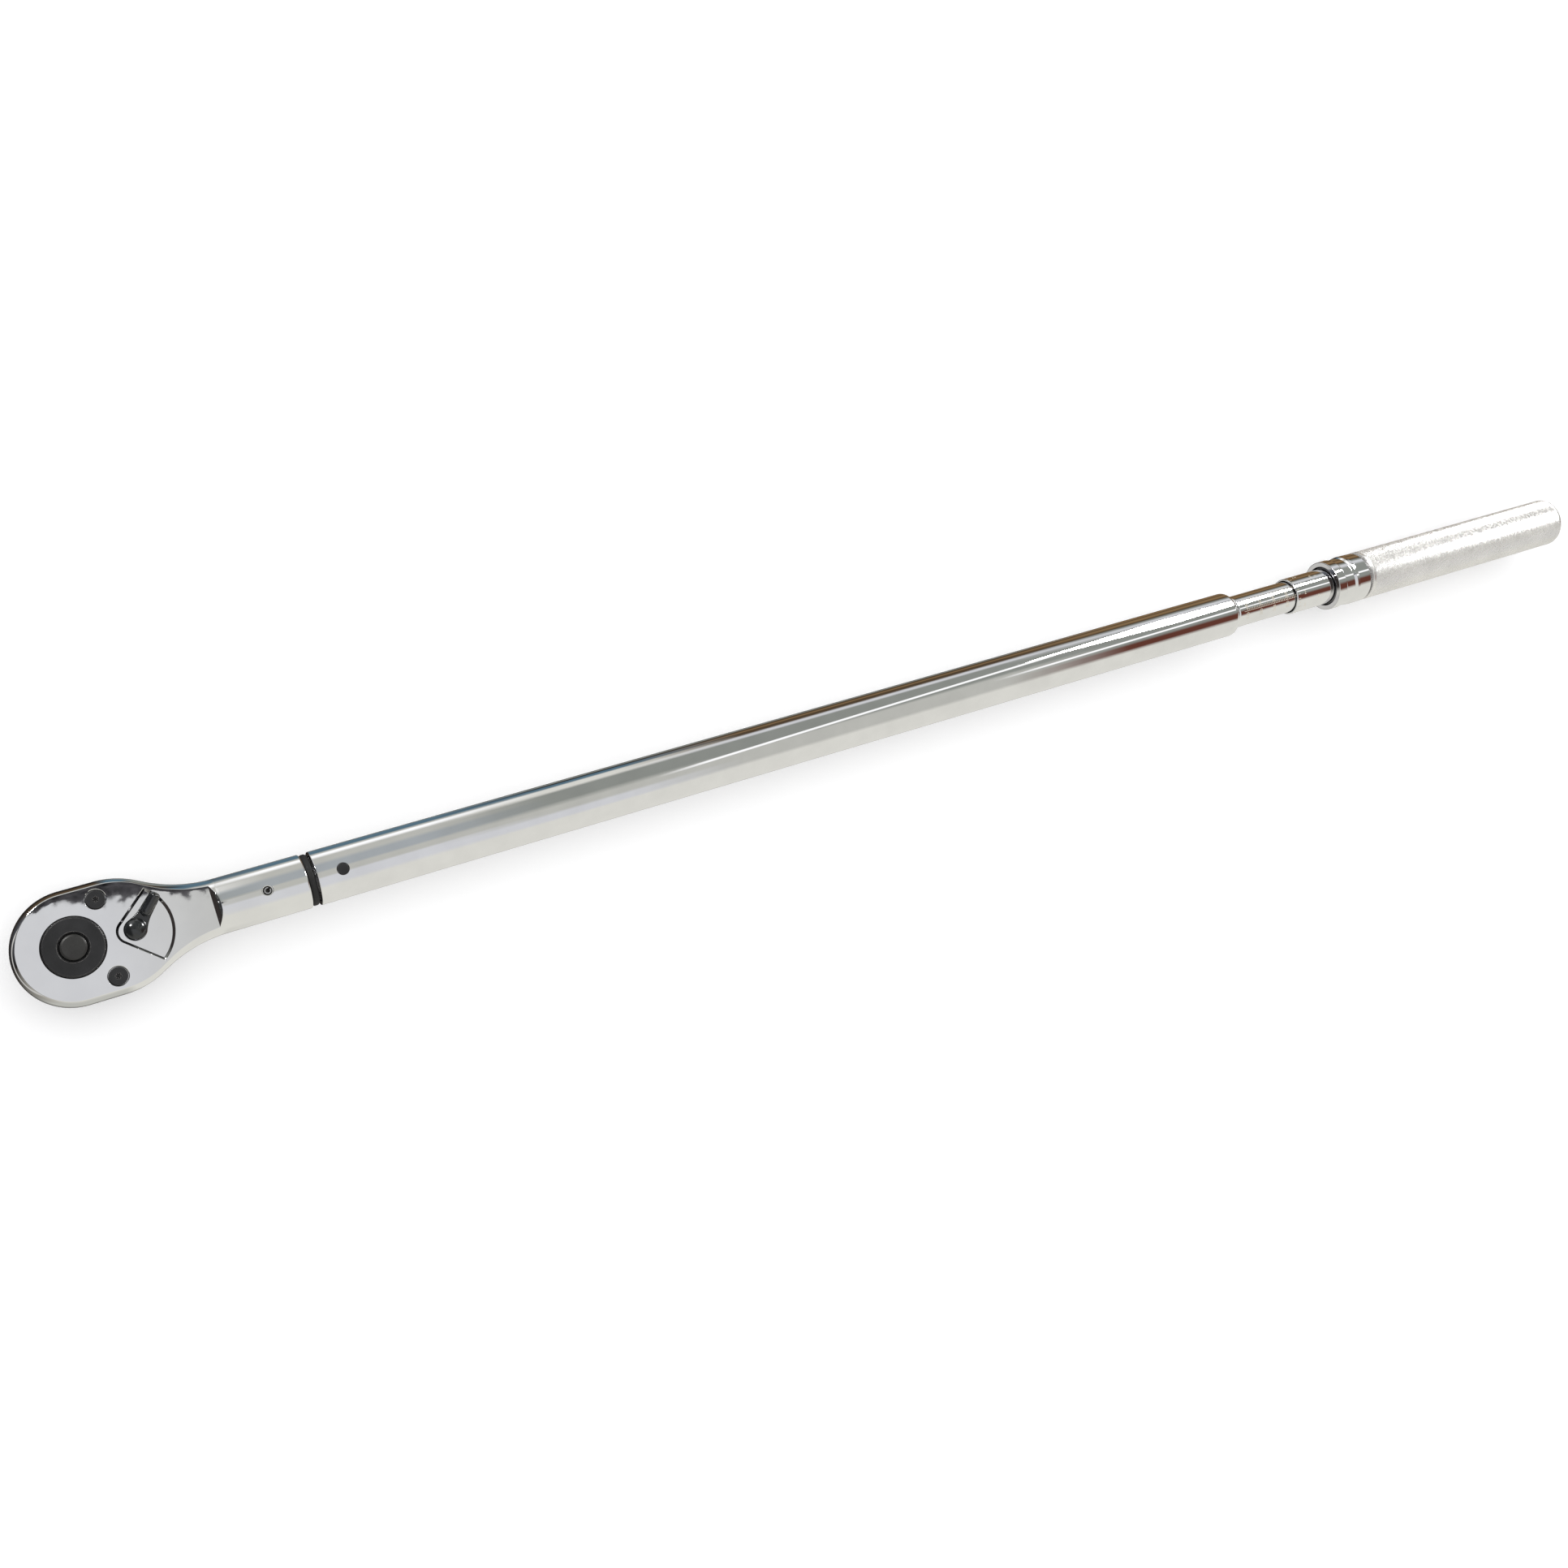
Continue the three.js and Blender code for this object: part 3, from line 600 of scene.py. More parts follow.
def build_cover():
    bottom, top = low("cover_plate", Z), high("cover_plate", Z)
    cover = prism("side_cover", cover_outline(),
        [(bottom, -0.35 * MM), (bottom + 0.1 * MM, -0.1 * MM), (bottom + 0.35 * MM, 0), (top, 0)])
    tools = [turned("neck_cut", [(bottom - MM, 0, 0), (bottom - MM, 16.6 * MM, 0),
        (bottom + 0.4 * MM, 15.5 * MM, 0), (top + MM, 15.5 * MM, 0), (top + MM, 0, 0)], 96, "Z")]
    for side in (1, -1):
        tools.append(moved(turned("hole_cut", [(bottom - MM, 0, 0), (bottom - MM, 4.2 * MM, 0),
            (bottom + 0.35 * MM, 3.1 * MM, 0), (top + MM, 3.1 * MM, 0),
            (top + MM, 0, 0)], 32, "Z"), x=SCREW_X, y=side * SCREW_Y))
    tools.append(moved(turned("spindle_cut", [(bottom - MM, 0, 0), (bottom - MM, 4.4 * MM, 0),
        (top + MM, 4.2 * MM, 0), (top + MM, 0, 0)], 32, "Z"), x=LEVER_X))
    carve(cover, "DIFFERENCE", *tools)
    return finish(cover, CHROME, "head", "cover_plate")


def build_cover_screw(name, node, side):
    top = high(node, Z)
    radius = (high(node, X) - low(node, X)) / 2
    screw = turned(name, [(low(node, Z), 0, 0), (low(node, Z), 2.9 * MM, 0.3 * MM),
        (top - 2.9 * MM, 2.9 * MM, 0), (top - 2.5 * MM, radius, 0.3 * MM),
        (top, radius, 0.45 * MM), (top, 0, 0)], 64, "Z")
    lobes = []
    for k in range(72):
        a = 2 * math.pi * k / 72
        reach = (1.35 + 0.3 * math.cos(6 * a)) * MM
        lobes.append((reach * math.cos(a), reach * math.sin(a)))
    socket = prism("socket_cut", lobes, [(top - 1.9 * MM, -0.25 * MM), (top - 0.25 * MM, 0),
        (top, 0.1 * MM), (top + MM, 0.1 * MM)])
    carve(screw, "DIFFERENCE", socket)
    moved(screw, x=SCREW_X, y=side * SCREW_Y, turn=0.3 * side)
    return finish(screw, OXIDE, "head", node)


TOOTH_COUNT = 36
TOOTH_R = 22.5 * MM
TOOTH_DEPTH = 1.7 * MM
DRIVE_NECK_R = 15.2 * MM
SQUARE_CORNER = 1.3 * MM
BUTTON_BORE_R = 8 * MM


def build_drive():
    """Hub, toothed ring, neck and square as one forging."""
    outline = []
    for k in range(2 * TOOTH_COUNT):
        a = math.pi * k / TOOTH_COUNT
        r = TOOTH_R - (TOOTH_DEPTH if k % 2 else 0)
        outline.append((r * math.cos(a), r * math.sin(a)))
    gear = prism("drive_anvil", outline, [(-10.7 * MM, -0.4 * MM), (-10.3 * MM, 0), (3.9 * MM, 0),
        (4.3 * MM, -0.4 * MM)])
    hub = turned("hub", [(0, 0, 0), (0, HUB_R, 0), (HUB_TOP - 0.75 * MM, HUB_R, 0.25 * MM),
        (HUB_TOP, HUB_R - 0.75 * MM, 0.25 * MM), (HUB_TOP, 0, 0)], 128, "Z")
    neck = turned("neck", [(-14.5 * MM, 0, 0), (-14.5 * MM, DRIVE_NECK_R, 0.5 * MM), (0, DRIVE_NECK_R, 0),
        (0, 0, 0)], 128, "Z")
    square = []
    for k in range(4):
        a = k * math.pi / 2
        c = HALF_SQUARE - SQUARE_CORNER
        cx = c * (1 if k in (0, 3) else -1)
        cy = c * (1 if k in (0, 1) else -1)
        square += list(arc_points(cx, cy, SQUARE_CORNER, a, a + math.pi / 2, 6))
    anvil = prism("square", square, [(SQUARE_END, -1.1 * MM), (SQUARE_END + 0.3 * MM, -0.55 * MM),
        (SQUARE_END + 1.2 * MM, 0), (-14 * MM, 0)])
    carve(gear, "UNION", hub, neck, anvil)
    button_bore = turned("button_cut", [(6 * MM, 0, 0), (6 * MM, BUTTON_BORE_R, 0),
        (HUB_TOP - 0.5 * MM, BUTTON_BORE_R, 0.1 * MM),
        (HUB_TOP + 0.5 * MM, 9.0 * MM, 0), (HUB_TOP + 0.5 * MM, 0, 0)], 96, "Z")
    stem_bore = rod("stem_cut", 4.2 * MM, SQUARE_END + 2 * MM, 7 * MM, 48)
    ball_z = (low("socket_ball", Z) + high("socket_ball", Z)) / 2
    ball_bore = rod("ball_cut", 3.2 * MM, 0, 12 * MM, 48, "X")
    carve(gear, "DIFFERENCE", button_bore, stem_bore, moved(ball_bore, z=ball_z))
    return finish(gear, OXIDE, "drive", "drive_gear", angle=30)


def build_button():
    bottom = 8.9 * MM
    tip = low("release_button", Z)
    button = turned("button", [(tip, 0, 0), (tip, 3.9 * MM, 0.3 * MM),
        (-26.8 * MM, 3.9 * MM, 0), (-26.3 * MM, 2.4 * MM, 0.3 * MM),
        (-22.5 * MM, 2.4 * MM, 0.3 * MM), (-22.0 * MM, 3.9 * MM, 0),
        (bottom, 3.9 * MM, 0), (bottom, BUTTON_R, 0.2 * MM), (BUTTON_TOP - 0.7 * MM, BUTTON_R, 0.5 * MM),
        (BUTTON_TOP - 0.15 * MM, BUTTON_R - 1.1 * MM, 0.6 * MM), (BUTTON_TOP, 0, 0)], 96, "Z", 6)
    return finish(button, SATIN, "button", "release_button", angle=50)


def ball(name, node, material, body):
    """A ball from an icosphere, rounded up to true radius."""
    lo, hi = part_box(node)
    mesh = bpy.data.meshes.new(name)
    work = bmesh.new()
    bmesh.ops.create_icosphere(work, subdivisions=4, radius=(hi.z - lo.z) / 2)
    bmesh.ops.translate(work, verts=work.verts, vec=(lo + hi) / 2)
    work.to_mesh(mesh)
    work.free()
    return finish(placed(name, mesh), material, body, node, angle=80)


# ---- reversing lever -----------------------------------------------------------------------
LEVER_TURN = math.radians(46.6)
LEVER_BULB = 6.2
LEVER_TIP = 22.4
LEVER_NOSE = 2.6  # length of the blunt rounding at the tip
LEVER_EDGE = 10.1  # height of the lever's flat rim


def lever_half_width(x):
    """Teardrop plan in millimetres: a round bulb, a tapering arm and a blunt tip."""
    meet, arm = 2.6, 11.0
    if x <= meet:
        return math.sqrt(max(LEVER_BULB**2 - x * x, 0))
    if x >= LEVER_TIP - LEVER_NOSE:
        u = min(1.0, max(0.0, (x - LEVER_TIP + LEVER_NOSE) / LEVER_NOSE))
        return 3.15 * max(0.0, 1 - u**2.6) ** (1 / 2.6)
    if x >= arm:
        return 3.6 - 0.45 * (x - arm) / (LEVER_TIP - LEVER_NOSE - arm)
    first = math.sqrt(LEVER_BULB**2 - meet**2)
    u = (x - meet) / (arm - meet)
    rise, fall = -meet / first * (arm - meet), -0.05 * (arm - meet)
    return ((2 * u**3 - 3 * u**2 + 1) * first + (u**3 - 2 * u**2 + u) * rise
        + (3 * u**2 - 2 * u**3) * 3.6 + (u**3 - u**2) * fall)


def lever_height(x, y, inset):
    """Top of the lever in millimetres: rim, dome over the spindle and rounded ridge to the tip."""
    def blend(a, b, reach):
        h = max(reach - abs(a - b), 0) / reach
        return max(a, b) + h * h * reach / 4

    r = math.hypot(x, y) / 6.1
    dome = 9.4 + 3.9 * math.sqrt(max(0.0, 1 - r * r))
    width = 2.75 + 0.02 * x
    nose = max(0.0, (8.2 + 2.7 - x) / 2.7)
    tail = max(0.0, (x - LEVER_TIP + 2.3) / 2.2)
    away = math.hypot(y / width, max(nose, tail))
    ridge = 9.7 + (3.5 + 0.13 * (x - 8)) * max(0.0, 1 - away**2) ** 0.5
    top = blend(blend(LEVER_EDGE, dome, 0.5), ridge, 0.35)
    edge = 0.7
    if inset < edge:
        top -= edge - math.sqrt(edge**2 - (edge - inset) ** 2)
    return top


def lever_underside(x):
    """The arm lies in the recess, and its tip is lifted clear of the face around it."""
    in_recess = RECESS_FLOOR / MM + 0.3
    clear = FACE_TOP / MM + 0.35
    return in_recess + (clear - in_recess) * min(1.0, max(0.0, (x - 16.2) / 0.5))


def build_lever():
    """Nested rings run from the plan outline in to the lever's middle line, above and below."""
    stations = [-LEVER_BULB * math.cos(0.62 * math.pi * k / 48) for k in range(49)]
    bulb_end, tip_start = stations[-1], LEVER_TIP - LEVER_NOSE
    stations += [bulb_end + (tip_start - bulb_end) * k / 40 for k in range(1, 41)]
    stations += [tip_start + LEVER_NOSE * math.sin(math.pi / 2 * k / 20) for k in range(1, 21)]
    outline = [(x, lever_half_width(x)) for x in stations]
    outline += [(x, -y) for x, y in outline[-2:0:-1]]
    count, depth = len(outline), 30
    verts, faces = [], []
    for side in ("under", "over"):
        for row in range(depth + 1):
            t = (row / depth) ** 1.6
            for x, y in outline:
                spine = min(max(x * 0.8, 0.0), LEVER_TIP - 3.4)
                px, py = x + (spine - x) * t, y * (1 - t)
                z = lever_underside(px)
                if side == "over":
                    z = max(lever_height(px, py, math.hypot(px - x, py - y)), z + 0.1)
                verts.append((px * MM, py * MM, z * MM))
    over = (depth + 1) * count
    for k in range(count):
        m = (k + 1) % count
        faces.append((k, m, over + m, over + k))
        for row in range(depth):
            for base in (0, over):
                a, b = base + row * count, base + (row + 1) * count
                faces.append((a + k, a + m, b + m, b + k))
    lever = make("reverser", verts, faces)
    merged(lever)
    outward(lever)
    foot = low("reversing_lever", Z)
    spindle = turned("spindle", [(foot, 0, 0), (foot, 4 * MM, 0.4 * MM),
        (9 * MM, 4 * MM, 0), (9 * MM, 0, 0)], 48, "Z")
    carve(lever, "UNION", spindle)
    moved(lever, x=LEVER_X, turn=LEVER_TURN)
    return finish(lever, GLOSS, "lever", "reversing_lever", angle=60)


# ---- neck, tube and pins -------------------------------------------------------------------
def build_dust_ring():
    ring = turned("dust_seal", [(RING_START, 10 * MM, 0), (RING_START, RING_R, 1.7 * MM),
        (RING_END, RING_R, 1.7 * MM), (RING_END, 10 * MM, 0)], 128, steps=8)
    return finish(ring, RUBBER, "head", "dust_ring", angle=60)


def build_head_pin():
    """A rolled spring pin: a slit tube with chamfered ends."""
    slit = 0.3
    outline = list(arc_points(0, 0, 2.0 * MM, slit, 2 * math.pi - slit, 40))
    outline += list(arc_points(0, 0, 1.15 * MM, 2 * math.pi - slit, slit, 28))
    bottom, top = low("head_pin", Z), high("head_pin", Z)
    pin = prism("rolled_pin", outline, [(bottom, -0.15 * MM), (bottom + 0.4 * MM, 0),
        (top - 0.4 * MM, 0), (top, -0.15 * MM)])
    moved(pin, x=PIN_X, turn=0.8)
    return finish(pin, GROUND, "head", "head_pin")


def build_pivot_pin():
    bottom, top = low("pivot_pin", Z), high("pivot_pin", Z)
    pin = turned("click_pivot", [(bottom, 0, 0), (bottom, PIVOT_R, 0.4 * MM), (top, PIVOT_R, 0.5 * MM),
        (top, 0, 0)], 64, "Z")
    return finish(moved(pin, x=PIVOT_X), OXIDE, "tube", "pivot_pin")


def build_tube():
    bore = TUBE_R - 2.475 * MM
    lip = TUBE_END - 5.4 * MM
    margin = 6 * MM
    tube = turned("tube_body", [(TUBE_START, bore, 0.2 * MM), (TUBE_START, TUBE_R, 0.45 * MM),
        (PIVOT_X - margin, TUBE_R, 0), (PIVOT_X + margin, TUBE_R, 0),
        (TUBE_END, TUBE_R, 3.95 * MM), (TUBE_END, BARREL_R + 0.2 * MM, 0.1 * MM),
        (lip, BARREL_R + 0.2 * MM, 0), (lip, bore, 0),
        (PIVOT_X + margin, bore, 0), (PIVOT_X - margin, bore, 0)], 144, steps=8)
    pin_hole = rod("pin_hole", PIVOT_R + 0.15 * MM, -20 * MM, 20 * MM)
    carve(tube, "DIFFERENCE", moved(pin_hole, x=PIVOT_X))
    return finish(tube, CHROME, "tube", "main_tube")


# ---- scale ---------------------------------------------------------------------------------
def wrapped(name, flat, radius, x, angle, proud=0.03 * MM):
    """Bends a flat solid, drawn in X and Y with its thickness in Z, round the tool's axis."""
    for vert in flat.data.vertices:
        u, v, w = vert.co
        a = angle + v / radius
        r = radius + proud + w
        vert.co = (x + u, r * math.sin(a), r * math.cos(a))
    flat.name = name
    return outward(flat)


def tick_boxes(name, ticks, thickness=0.06 * MM):
    """Flat ticks as (x, y, length along X, width along Y) boxes, each cut into short strips."""
    verts, faces = [], []
    for x, y, length, width in ticks:
        strips = max(1, int(width / (0.6 * MM)))
        base = len(verts)
        for k in range(strips + 1):
            yy = y + width * (k / strips - 0.5)
            for xx, zz in ((0, -thickness), (length, -thickness), (length, 0), (0, 0)):
                verts.append((x + xx, yy, zz))
        for k in range(strips):
            faces += band(base + 4 * k, base + 4 * (k + 1), 4)
        faces.append((base, base + 1, base + 2, base + 3))
        end = base + 4 * strips
        faces.append((end + 3, end + 2, end + 1, end))
    return outward(make(name, verts, faces))


def number(text, height, turn=0.0):
    """A flat solid number, centred, drawn in Blender's own plain font."""
    curve = bpy.data.curves.new("number", "FONT")
    curve.body = text
    curve.size = height * 1.38
    curve.align_x = "CENTER"
    curve.align_y = "CENTER"
    curve.extrude = 0.03 * MM
    curve.resolution_u = 4
    holder = bpy.data.objects.new("number", curve)
    mesh = bpy.data.meshes.new_from_object(holder)
    bpy.data.objects.remove(holder)
    flat = placed("number", mesh)
    flat.data.transform(Matrix.Translation((0, 0, -0.03 * MM)) @ Matrix.Rotation(turn, 4, "Z"))
    return flat


def joined(name, objects):
    work = bmesh.new()
    for obj in objects:
        work.from_mesh(obj.data)
        bpy.data.objects.remove(obj)
    bmesh.ops.recalc_face_normals(work, faces=work.faces)
    mesh = bpy.data.meshes.new(name)
    work.to_mesh(mesh)
    work.free()
    return placed(name, mesh)


def build_barrel():
    bore = 8.2 * MM
    plug_r = TUBE_R - 2.575 * MM
    plug_end = TUBE_END - 5.7 * MM
    barrel = turned("scale_sleeve", [
        (BARREL_START, bore, 0.2 * MM), (BARREL_START, plug_r, 0.3 * MM), (plug_end, plug_r, 0.3 * MM),
        (plug_end, 9.2 * MM, 0), (TUBE_END + 1.6 * MM, 9.2 * MM, 0.5 * MM),
        (TUBE_END + 2.0 * MM, BARREL_R, 2.0 * MM), (BARREL_END, BARREL_R, 0.4 * MM),
        (BARREL_END, bore, 0.2 * MM)], 128, steps=8)
    return finish(barrel, CHROME, "tube", "scale_barrel")


SCALE_START = TUBE_END + 10 * MM
SCALE_PITCH = 1.6 * MM
MAIN_ROW = math.radians(22)  # the index line's direction, from +Z towards +Y
OTHER_ROW = math.radians(-14)


def build_barrel_scale():
    count = int((THIMBLE_START - SCALE_START) / SCALE_PITCH) + 16
    marks = []
    for angle, first, step in ((MAIN_ROW, 100, 50), (OTHER_ROW, 140, 60)):
        ticks = [(SCALE_START - 3 * MM, 0, count * SCALE_PITCH, 0.25 * MM)]
        for k in range(count):
            length = 3.4 * MM if k % 4 == 0 else 2.0 * MM
            ticks.append((SCALE_START + k * SCALE_PITCH, length / 2, 0.3 * MM, length))
        marks.append(wrapped("ticks", tick_boxes("ticks", ticks), BARREL_R, 0, angle))
        for k in range(0, count, 8):
            digits = number(str(first + step * k // 8), 2.5 * MM, math.pi / 2)
            marks.append(wrapped("digits", digits, BARREL_R, SCALE_START + k * SCALE_PITCH + 0.2 * MM,
                angle - 3.6 * MM / BARREL_R))
    scale = joined("barrel_scale", marks)
    return finish(scale, ETCH, "tube")


def build_thimble():
    bore = 12.2 * MM
    thimble = turned("thimble_sleeve", [
        (THIMBLE_START, bore, 0.15 * MM), (THIMBLE_START, THIMBLE_R - 0.25 * MM, 0.2 * MM),
        (THIMBLE_START + 0.8 * MM, THIMBLE_R, 0.4 * MM), (THIMBLE_END, THIMBLE_R, 0.2 * MM),
        (THIMBLE_END, bore, 0.2 * MM)], 128)
    return finish(thimble, CHROME, "handle", "thimble")


def build_thimble_scale():
    marks = []
    divisions = 25
    for k in range(divisions):
        angle = 2 * math.pi * k / divisions
        major = k % 5 == 0
        length = 3.2 * MM if major else 2.0 * MM
        tick = tick_boxes("tick", [(0, 0, length, 0.32 * MM)])
        marks.append(wrapped("tick", tick, THIMBLE_R, THIMBLE_START + 1.4 * MM, MAIN_ROW + angle))
        if k % 5 == 0 or k % 5 == 2:
            digits = number(str(k), 2.9 * MM)
            marks.append(wrapped("digits", digits, THIMBLE_R, THIMBLE_START + 8.2 * MM, MAIN_ROW - angle))
        if k % 5 == 0:
            digits = number(str(2 * k), 2.6 * MM)
            marks.append(wrapped("digits", digits, THIMBLE_R, THIMBLE_START + 20 * MM,
                MAIN_ROW - angle + 0.35))
            tick = tick_boxes("tick", [(0, 0, 2.4 * MM, 0.32 * MM)])
            marks.append(wrapped("tick", tick, THIMBLE_R, THIMBLE_START + 23.5 * MM,
                MAIN_ROW - angle + 0.35))
    scale = joined("thimble_scale", marks)
    return finish(scale, ETCH, "handle")


# ---- lock ring and grip --------------------------------------------------------------------
def build_lock_ring():
    bore = 14.8 * MM
    rear_bore = THIMBLE_R + 0.35 * MM
    cam = 16.4 * MM
    at = LOCK_START
    ring = turned("lock_collar", [
        (at, bore, 0.25 * MM), (at, 18.25 * MM, 0.5 * MM), (at + 7.6 * MM, 18.3 * MM, 0.5 * MM),
        (at + 8.4 * MM, 17.75 * MM, 0.5 * MM), (at + 16.6 * MM, 17.4 * MM, 0.7 * MM),
        (at + 18.4 * MM, 18.35 * MM, 0.6 * MM), (at + 20.6 * MM, 18.5 * MM, 1.2 * MM),
        (LOCK_END - 0.2 * MM, 18.1 * MM, 0.5 * MM),
        (LOCK_END, 17.0 * MM, 0.2 * MM), (LOCK_END, rear_bore, 0.3 * MM), (at + 28.1 * MM, rear_bore, 0),
        (at + 28.1 * MM, cam, 0), (at + 14 * MM, cam, 0), (at + 12.4 * MM, bore, 0)], 144, steps=6)
    return finish(ring, CHROME, "lock_ring", "lock_ring", angle=30)


def build_ring_lining():
    """The dark steel guide that shows inside the lock ring's mouth."""
    outer = 14.6 * MM
    lining = turned("guide_band", [(LOCK_START + 1.4 * MM, THIMBLE_R - 0.05 * MM, 0),
        (LOCK_START + 1.4 * MM, outer - 0.5 * MM, 0.2 * MM),
        (LOCK_START + 2.6 * MM, outer - 0.4 * MM, 0.1 * MM), (LOCK_START + 2.9 * MM, outer, 0.1 * MM),
        (LOCK_START + 8.4 * MM, outer, 0.4 * MM), (LOCK_START + 8.4 * MM, THIMBLE_R - 0.05 * MM, 0)], 96)
    return finish(lining, SPRING, "handle", slot="black_steel")


KNURLS = 76  # diamonds round the grip
KNURL_DEPTH = 0.3 * MM
COLLAR = 3.6 * MM


def build_grip():
    """Diamond knurl: valleys run along both diagonals of a half-pitch grid."""
    sides = 2 * KNURLS
    step = math.pi * GRIP_R / KNURLS
    corner = 3 * MM
    bore = THIMBLE_R + 0.1 * MM
    plain_r = GRIP_R - 0.15 * MM
    knurl_start = GRIP_START + COLLAR
    knurl_rows = int((GRIP_END - corner - knurl_start) / step)
    rows = [(GRIP_START, bore)]
    for x, r in arc_points(GRIP_START + 1.1 * MM, plain_r - 1.1 * MM, 1.1 * MM, math.pi, math.pi / 2, 5):
        rows.append((x, r))
    rows += [(knurl_start - 1.3 * MM, plain_r), (knurl_start - 0.9 * MM, plain_r - 0.35 * MM),
        (knurl_start - 0.5 * MM, plain_r - 0.35 * MM)]
    first = len(rows)
    rows += [(knurl_start + step * k, None) for k in range(knurl_rows + 1)]
    last = len(rows)
    end_x = knurl_start + step * knurl_rows + 0.3 * MM
    rows.append((end_x, GRIP_R - KNURL_DEPTH / 2))
    for x, r in arc_points(GRIP_END - corner, plain_r - corner, corner, math.pi / 2, 0, 7):
        if x > end_x:
            rows.append((x, r))
    rows += [(GRIP_END - 0.6 * MM, bore)]
    verts, faces = [], []
    for i, (x, r) in enumerate(rows):
        for k in range(sides):
            radius = r
            if r is None:
                radius = GRIP_R if (i - first + k) % 2 else GRIP_R - KNURL_DEPTH
            a = 2 * math.pi * k / sides
            verts.append((x, radius * math.sin(a), radius * math.cos(a)))
    count = len(rows)
    for i in range(count):
        j = (i + 1) % count
        for k in range(sides):
            m = (k + 1) % sides
            a, b, c, d = i * sides + k, j * sides + k, j * sides + m, i * sides + m
            if first <= i < last - 1:
                if (i - first + k) % 2:
                    faces += [(a, b, d), (b, c, d)]
                else:
                    faces += [(a, b, c), (a, c, d)]
            else:
                faces.append((a, b, c, d))
    grip = outward(make("knurled_grip", verts, faces))
    return finish(grip, KNURL, "handle", "grip", angle=25)


def build_end_cap():
    start, end = low("end_cap", X), high("end_cap", X)
    radius = high("end_cap", Z)
    seat = end - 4.6 * MM
    cap = turned("end_plug", [
        (start, 2.3 * MM, 0), (start, radius, 0.4 * MM), (end, radius, 0.5 * MM), (end, 10.4 * MM, 0.3 * MM),
        (end - 0.7 * MM, 9.6 * MM, 0.3 * MM), (end - 0.7 * MM, 6.4 * MM, 0.3 * MM), (end, 5.6 * MM, 0.3 * MM),
        (end, 4.6 * MM, 0.2 * MM), (seat, 4.6 * MM, 0), (seat, 2.3 * MM, 0)], 96)
    return finish(cap, GROUND, "handle", "end_cap", angle=30)


def build_end_screw():
    start, end = low("end_screw", X), high("end_screw", X)
    seat = GRIP_END - 4.7 * MM
    screw = turned("end_bolt", [(start, 0, 0), (start, 2 * MM, 0.3 * MM), (seat, 2 * MM, 0),
        (seat, 4.3 * MM, 0.2 * MM), (end, 4.3 * MM, 0.5 * MM), (end, 0, 0)], 64)
    hexagon = list(arc_points(0, 0, 2.3 * MM, 0, 2 * math.pi, 6))[:-1]
    socket = prism("hex_cut", hexagon, [(0, 0), (3 * MM, 0)])
    socket.data.transform(Matrix.Translation((end - 2.4 * MM, 0, 0)) @ Matrix.Rotation(math.pi / 2, 4, "Y"))
    carve(screw, "DIFFERENCE", socket)
    return finish(screw, OXIDE, "handle", "end_screw")


def build_spring(name, node, body, radius, wire, turns, about):
    """A coil with flattened ends."""
    start, end = low(node, about), high(node, about)
    steps, sides = turns * 28, 12
    verts, faces = [], []
    for i in range(steps + 1):
        t = i / steps
        a = 2 * math.pi * turns * t
        rise = start + wire + (end - start - 2 * wire) * t
        for k in range(sides):
            b = 2 * math.pi * k / sides
            r = radius + wire * math.cos(b)
            u, v, w = r * math.cos(a), r * math.sin(a), rise + wire * math.sin(b)
            verts.append((w, u, v) if about == X else (u, v, w))
    for i in range(steps):
        faces += band(i * sides, (i + 1) * sides, sides)
    faces.append(tuple(range(sides)))
    faces.append(tuple(range(steps * sides, (steps + 1) * sides)))
    spring = outward(make(name, verts, faces))
    finish(spring, SPRING, body, node)
    anchor, axis = [0, 0, 0], [0, 0, 0]
    anchor[about] = low(node, about)
    axis[about] = 1
    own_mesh(spring)
    return spring


# ---- everything inside ---------------------------------------------------------------------
INSIDE = {"tongue_bar": GROUND, "pawl": GROUND, "pawl_plunger": GROUND, "pawl_spring": SPRING,
    "click_block": GROUND, "plunger": GROUND, "plunger_bush": BRASS, "spring_seat": GROUND,
    "push_rod": GROUND, "thrust_washer": BRASS,
    "adjusting_nut": BRASS, "barrel_screw": OXIDE, "adjusting_screw": GROUND,
    "lock_stop_ring": SPRING, "handle_hub": GROUND,}


def dress_inside():
    for node, material in INSIDE.items():
        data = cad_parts[node].data
        data.materials.clear()
        data.materials.append(material)


# ---- stage ---------------------------------------------------------------------------------
def build_floor():
    lo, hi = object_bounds()
    level = lo[2] - 0.4 * MM
    size = 12.0  # metres each way, past the edge of every view
    floor = make("floor", [(-size, -size, level), (size, -size, level), (size, size, level),
        (-size, size, level)], [(0, 1, 2, 3)])
    material = bpy.data.materials.new("pale_floor")
    material.use_nodes = True
    n = Nodes(material.node_tree)
    shader = n.add("ShaderNodeBsdfPrincipled", Roughness=0.9)
    n.link(n.mix(n.noise(6, 3), (0.93, 0.93, 0.93), (0.95, 0.95, 0.95)), shader.inputs["Base Color"])
    shader.inputs["Emission Color"].default_value = (1, 1, 1, 1)
    shader.inputs["Emission Strength"].default_value = 0.16
    shader.inputs["Specular IOR Level"].default_value = 0.1
    output = n.add("ShaderNodeOutputMaterial")
    n.link(shader.outputs[0], output.inputs[0])
    floor.data.materials.append(material)
    floor.visible_glossy = False


# The room that the chrome mirrors, as a few plain tones (sRGB) in broad bands.
PALE = (212, 211, 204)
COOL = (202, 203, 206)
DIM = (182, 182, 176)
SLATE = (160, 165, 168)
GREY = (136, 139, 134)
BLUE = (85, 110, 125)
WOOD = (130, 105, 75)
BROWN = (80, 66, 50)
RUST = (95, 55, 45)
DARK = (42, 38, 35)
LAMP = (255, 255, 255)

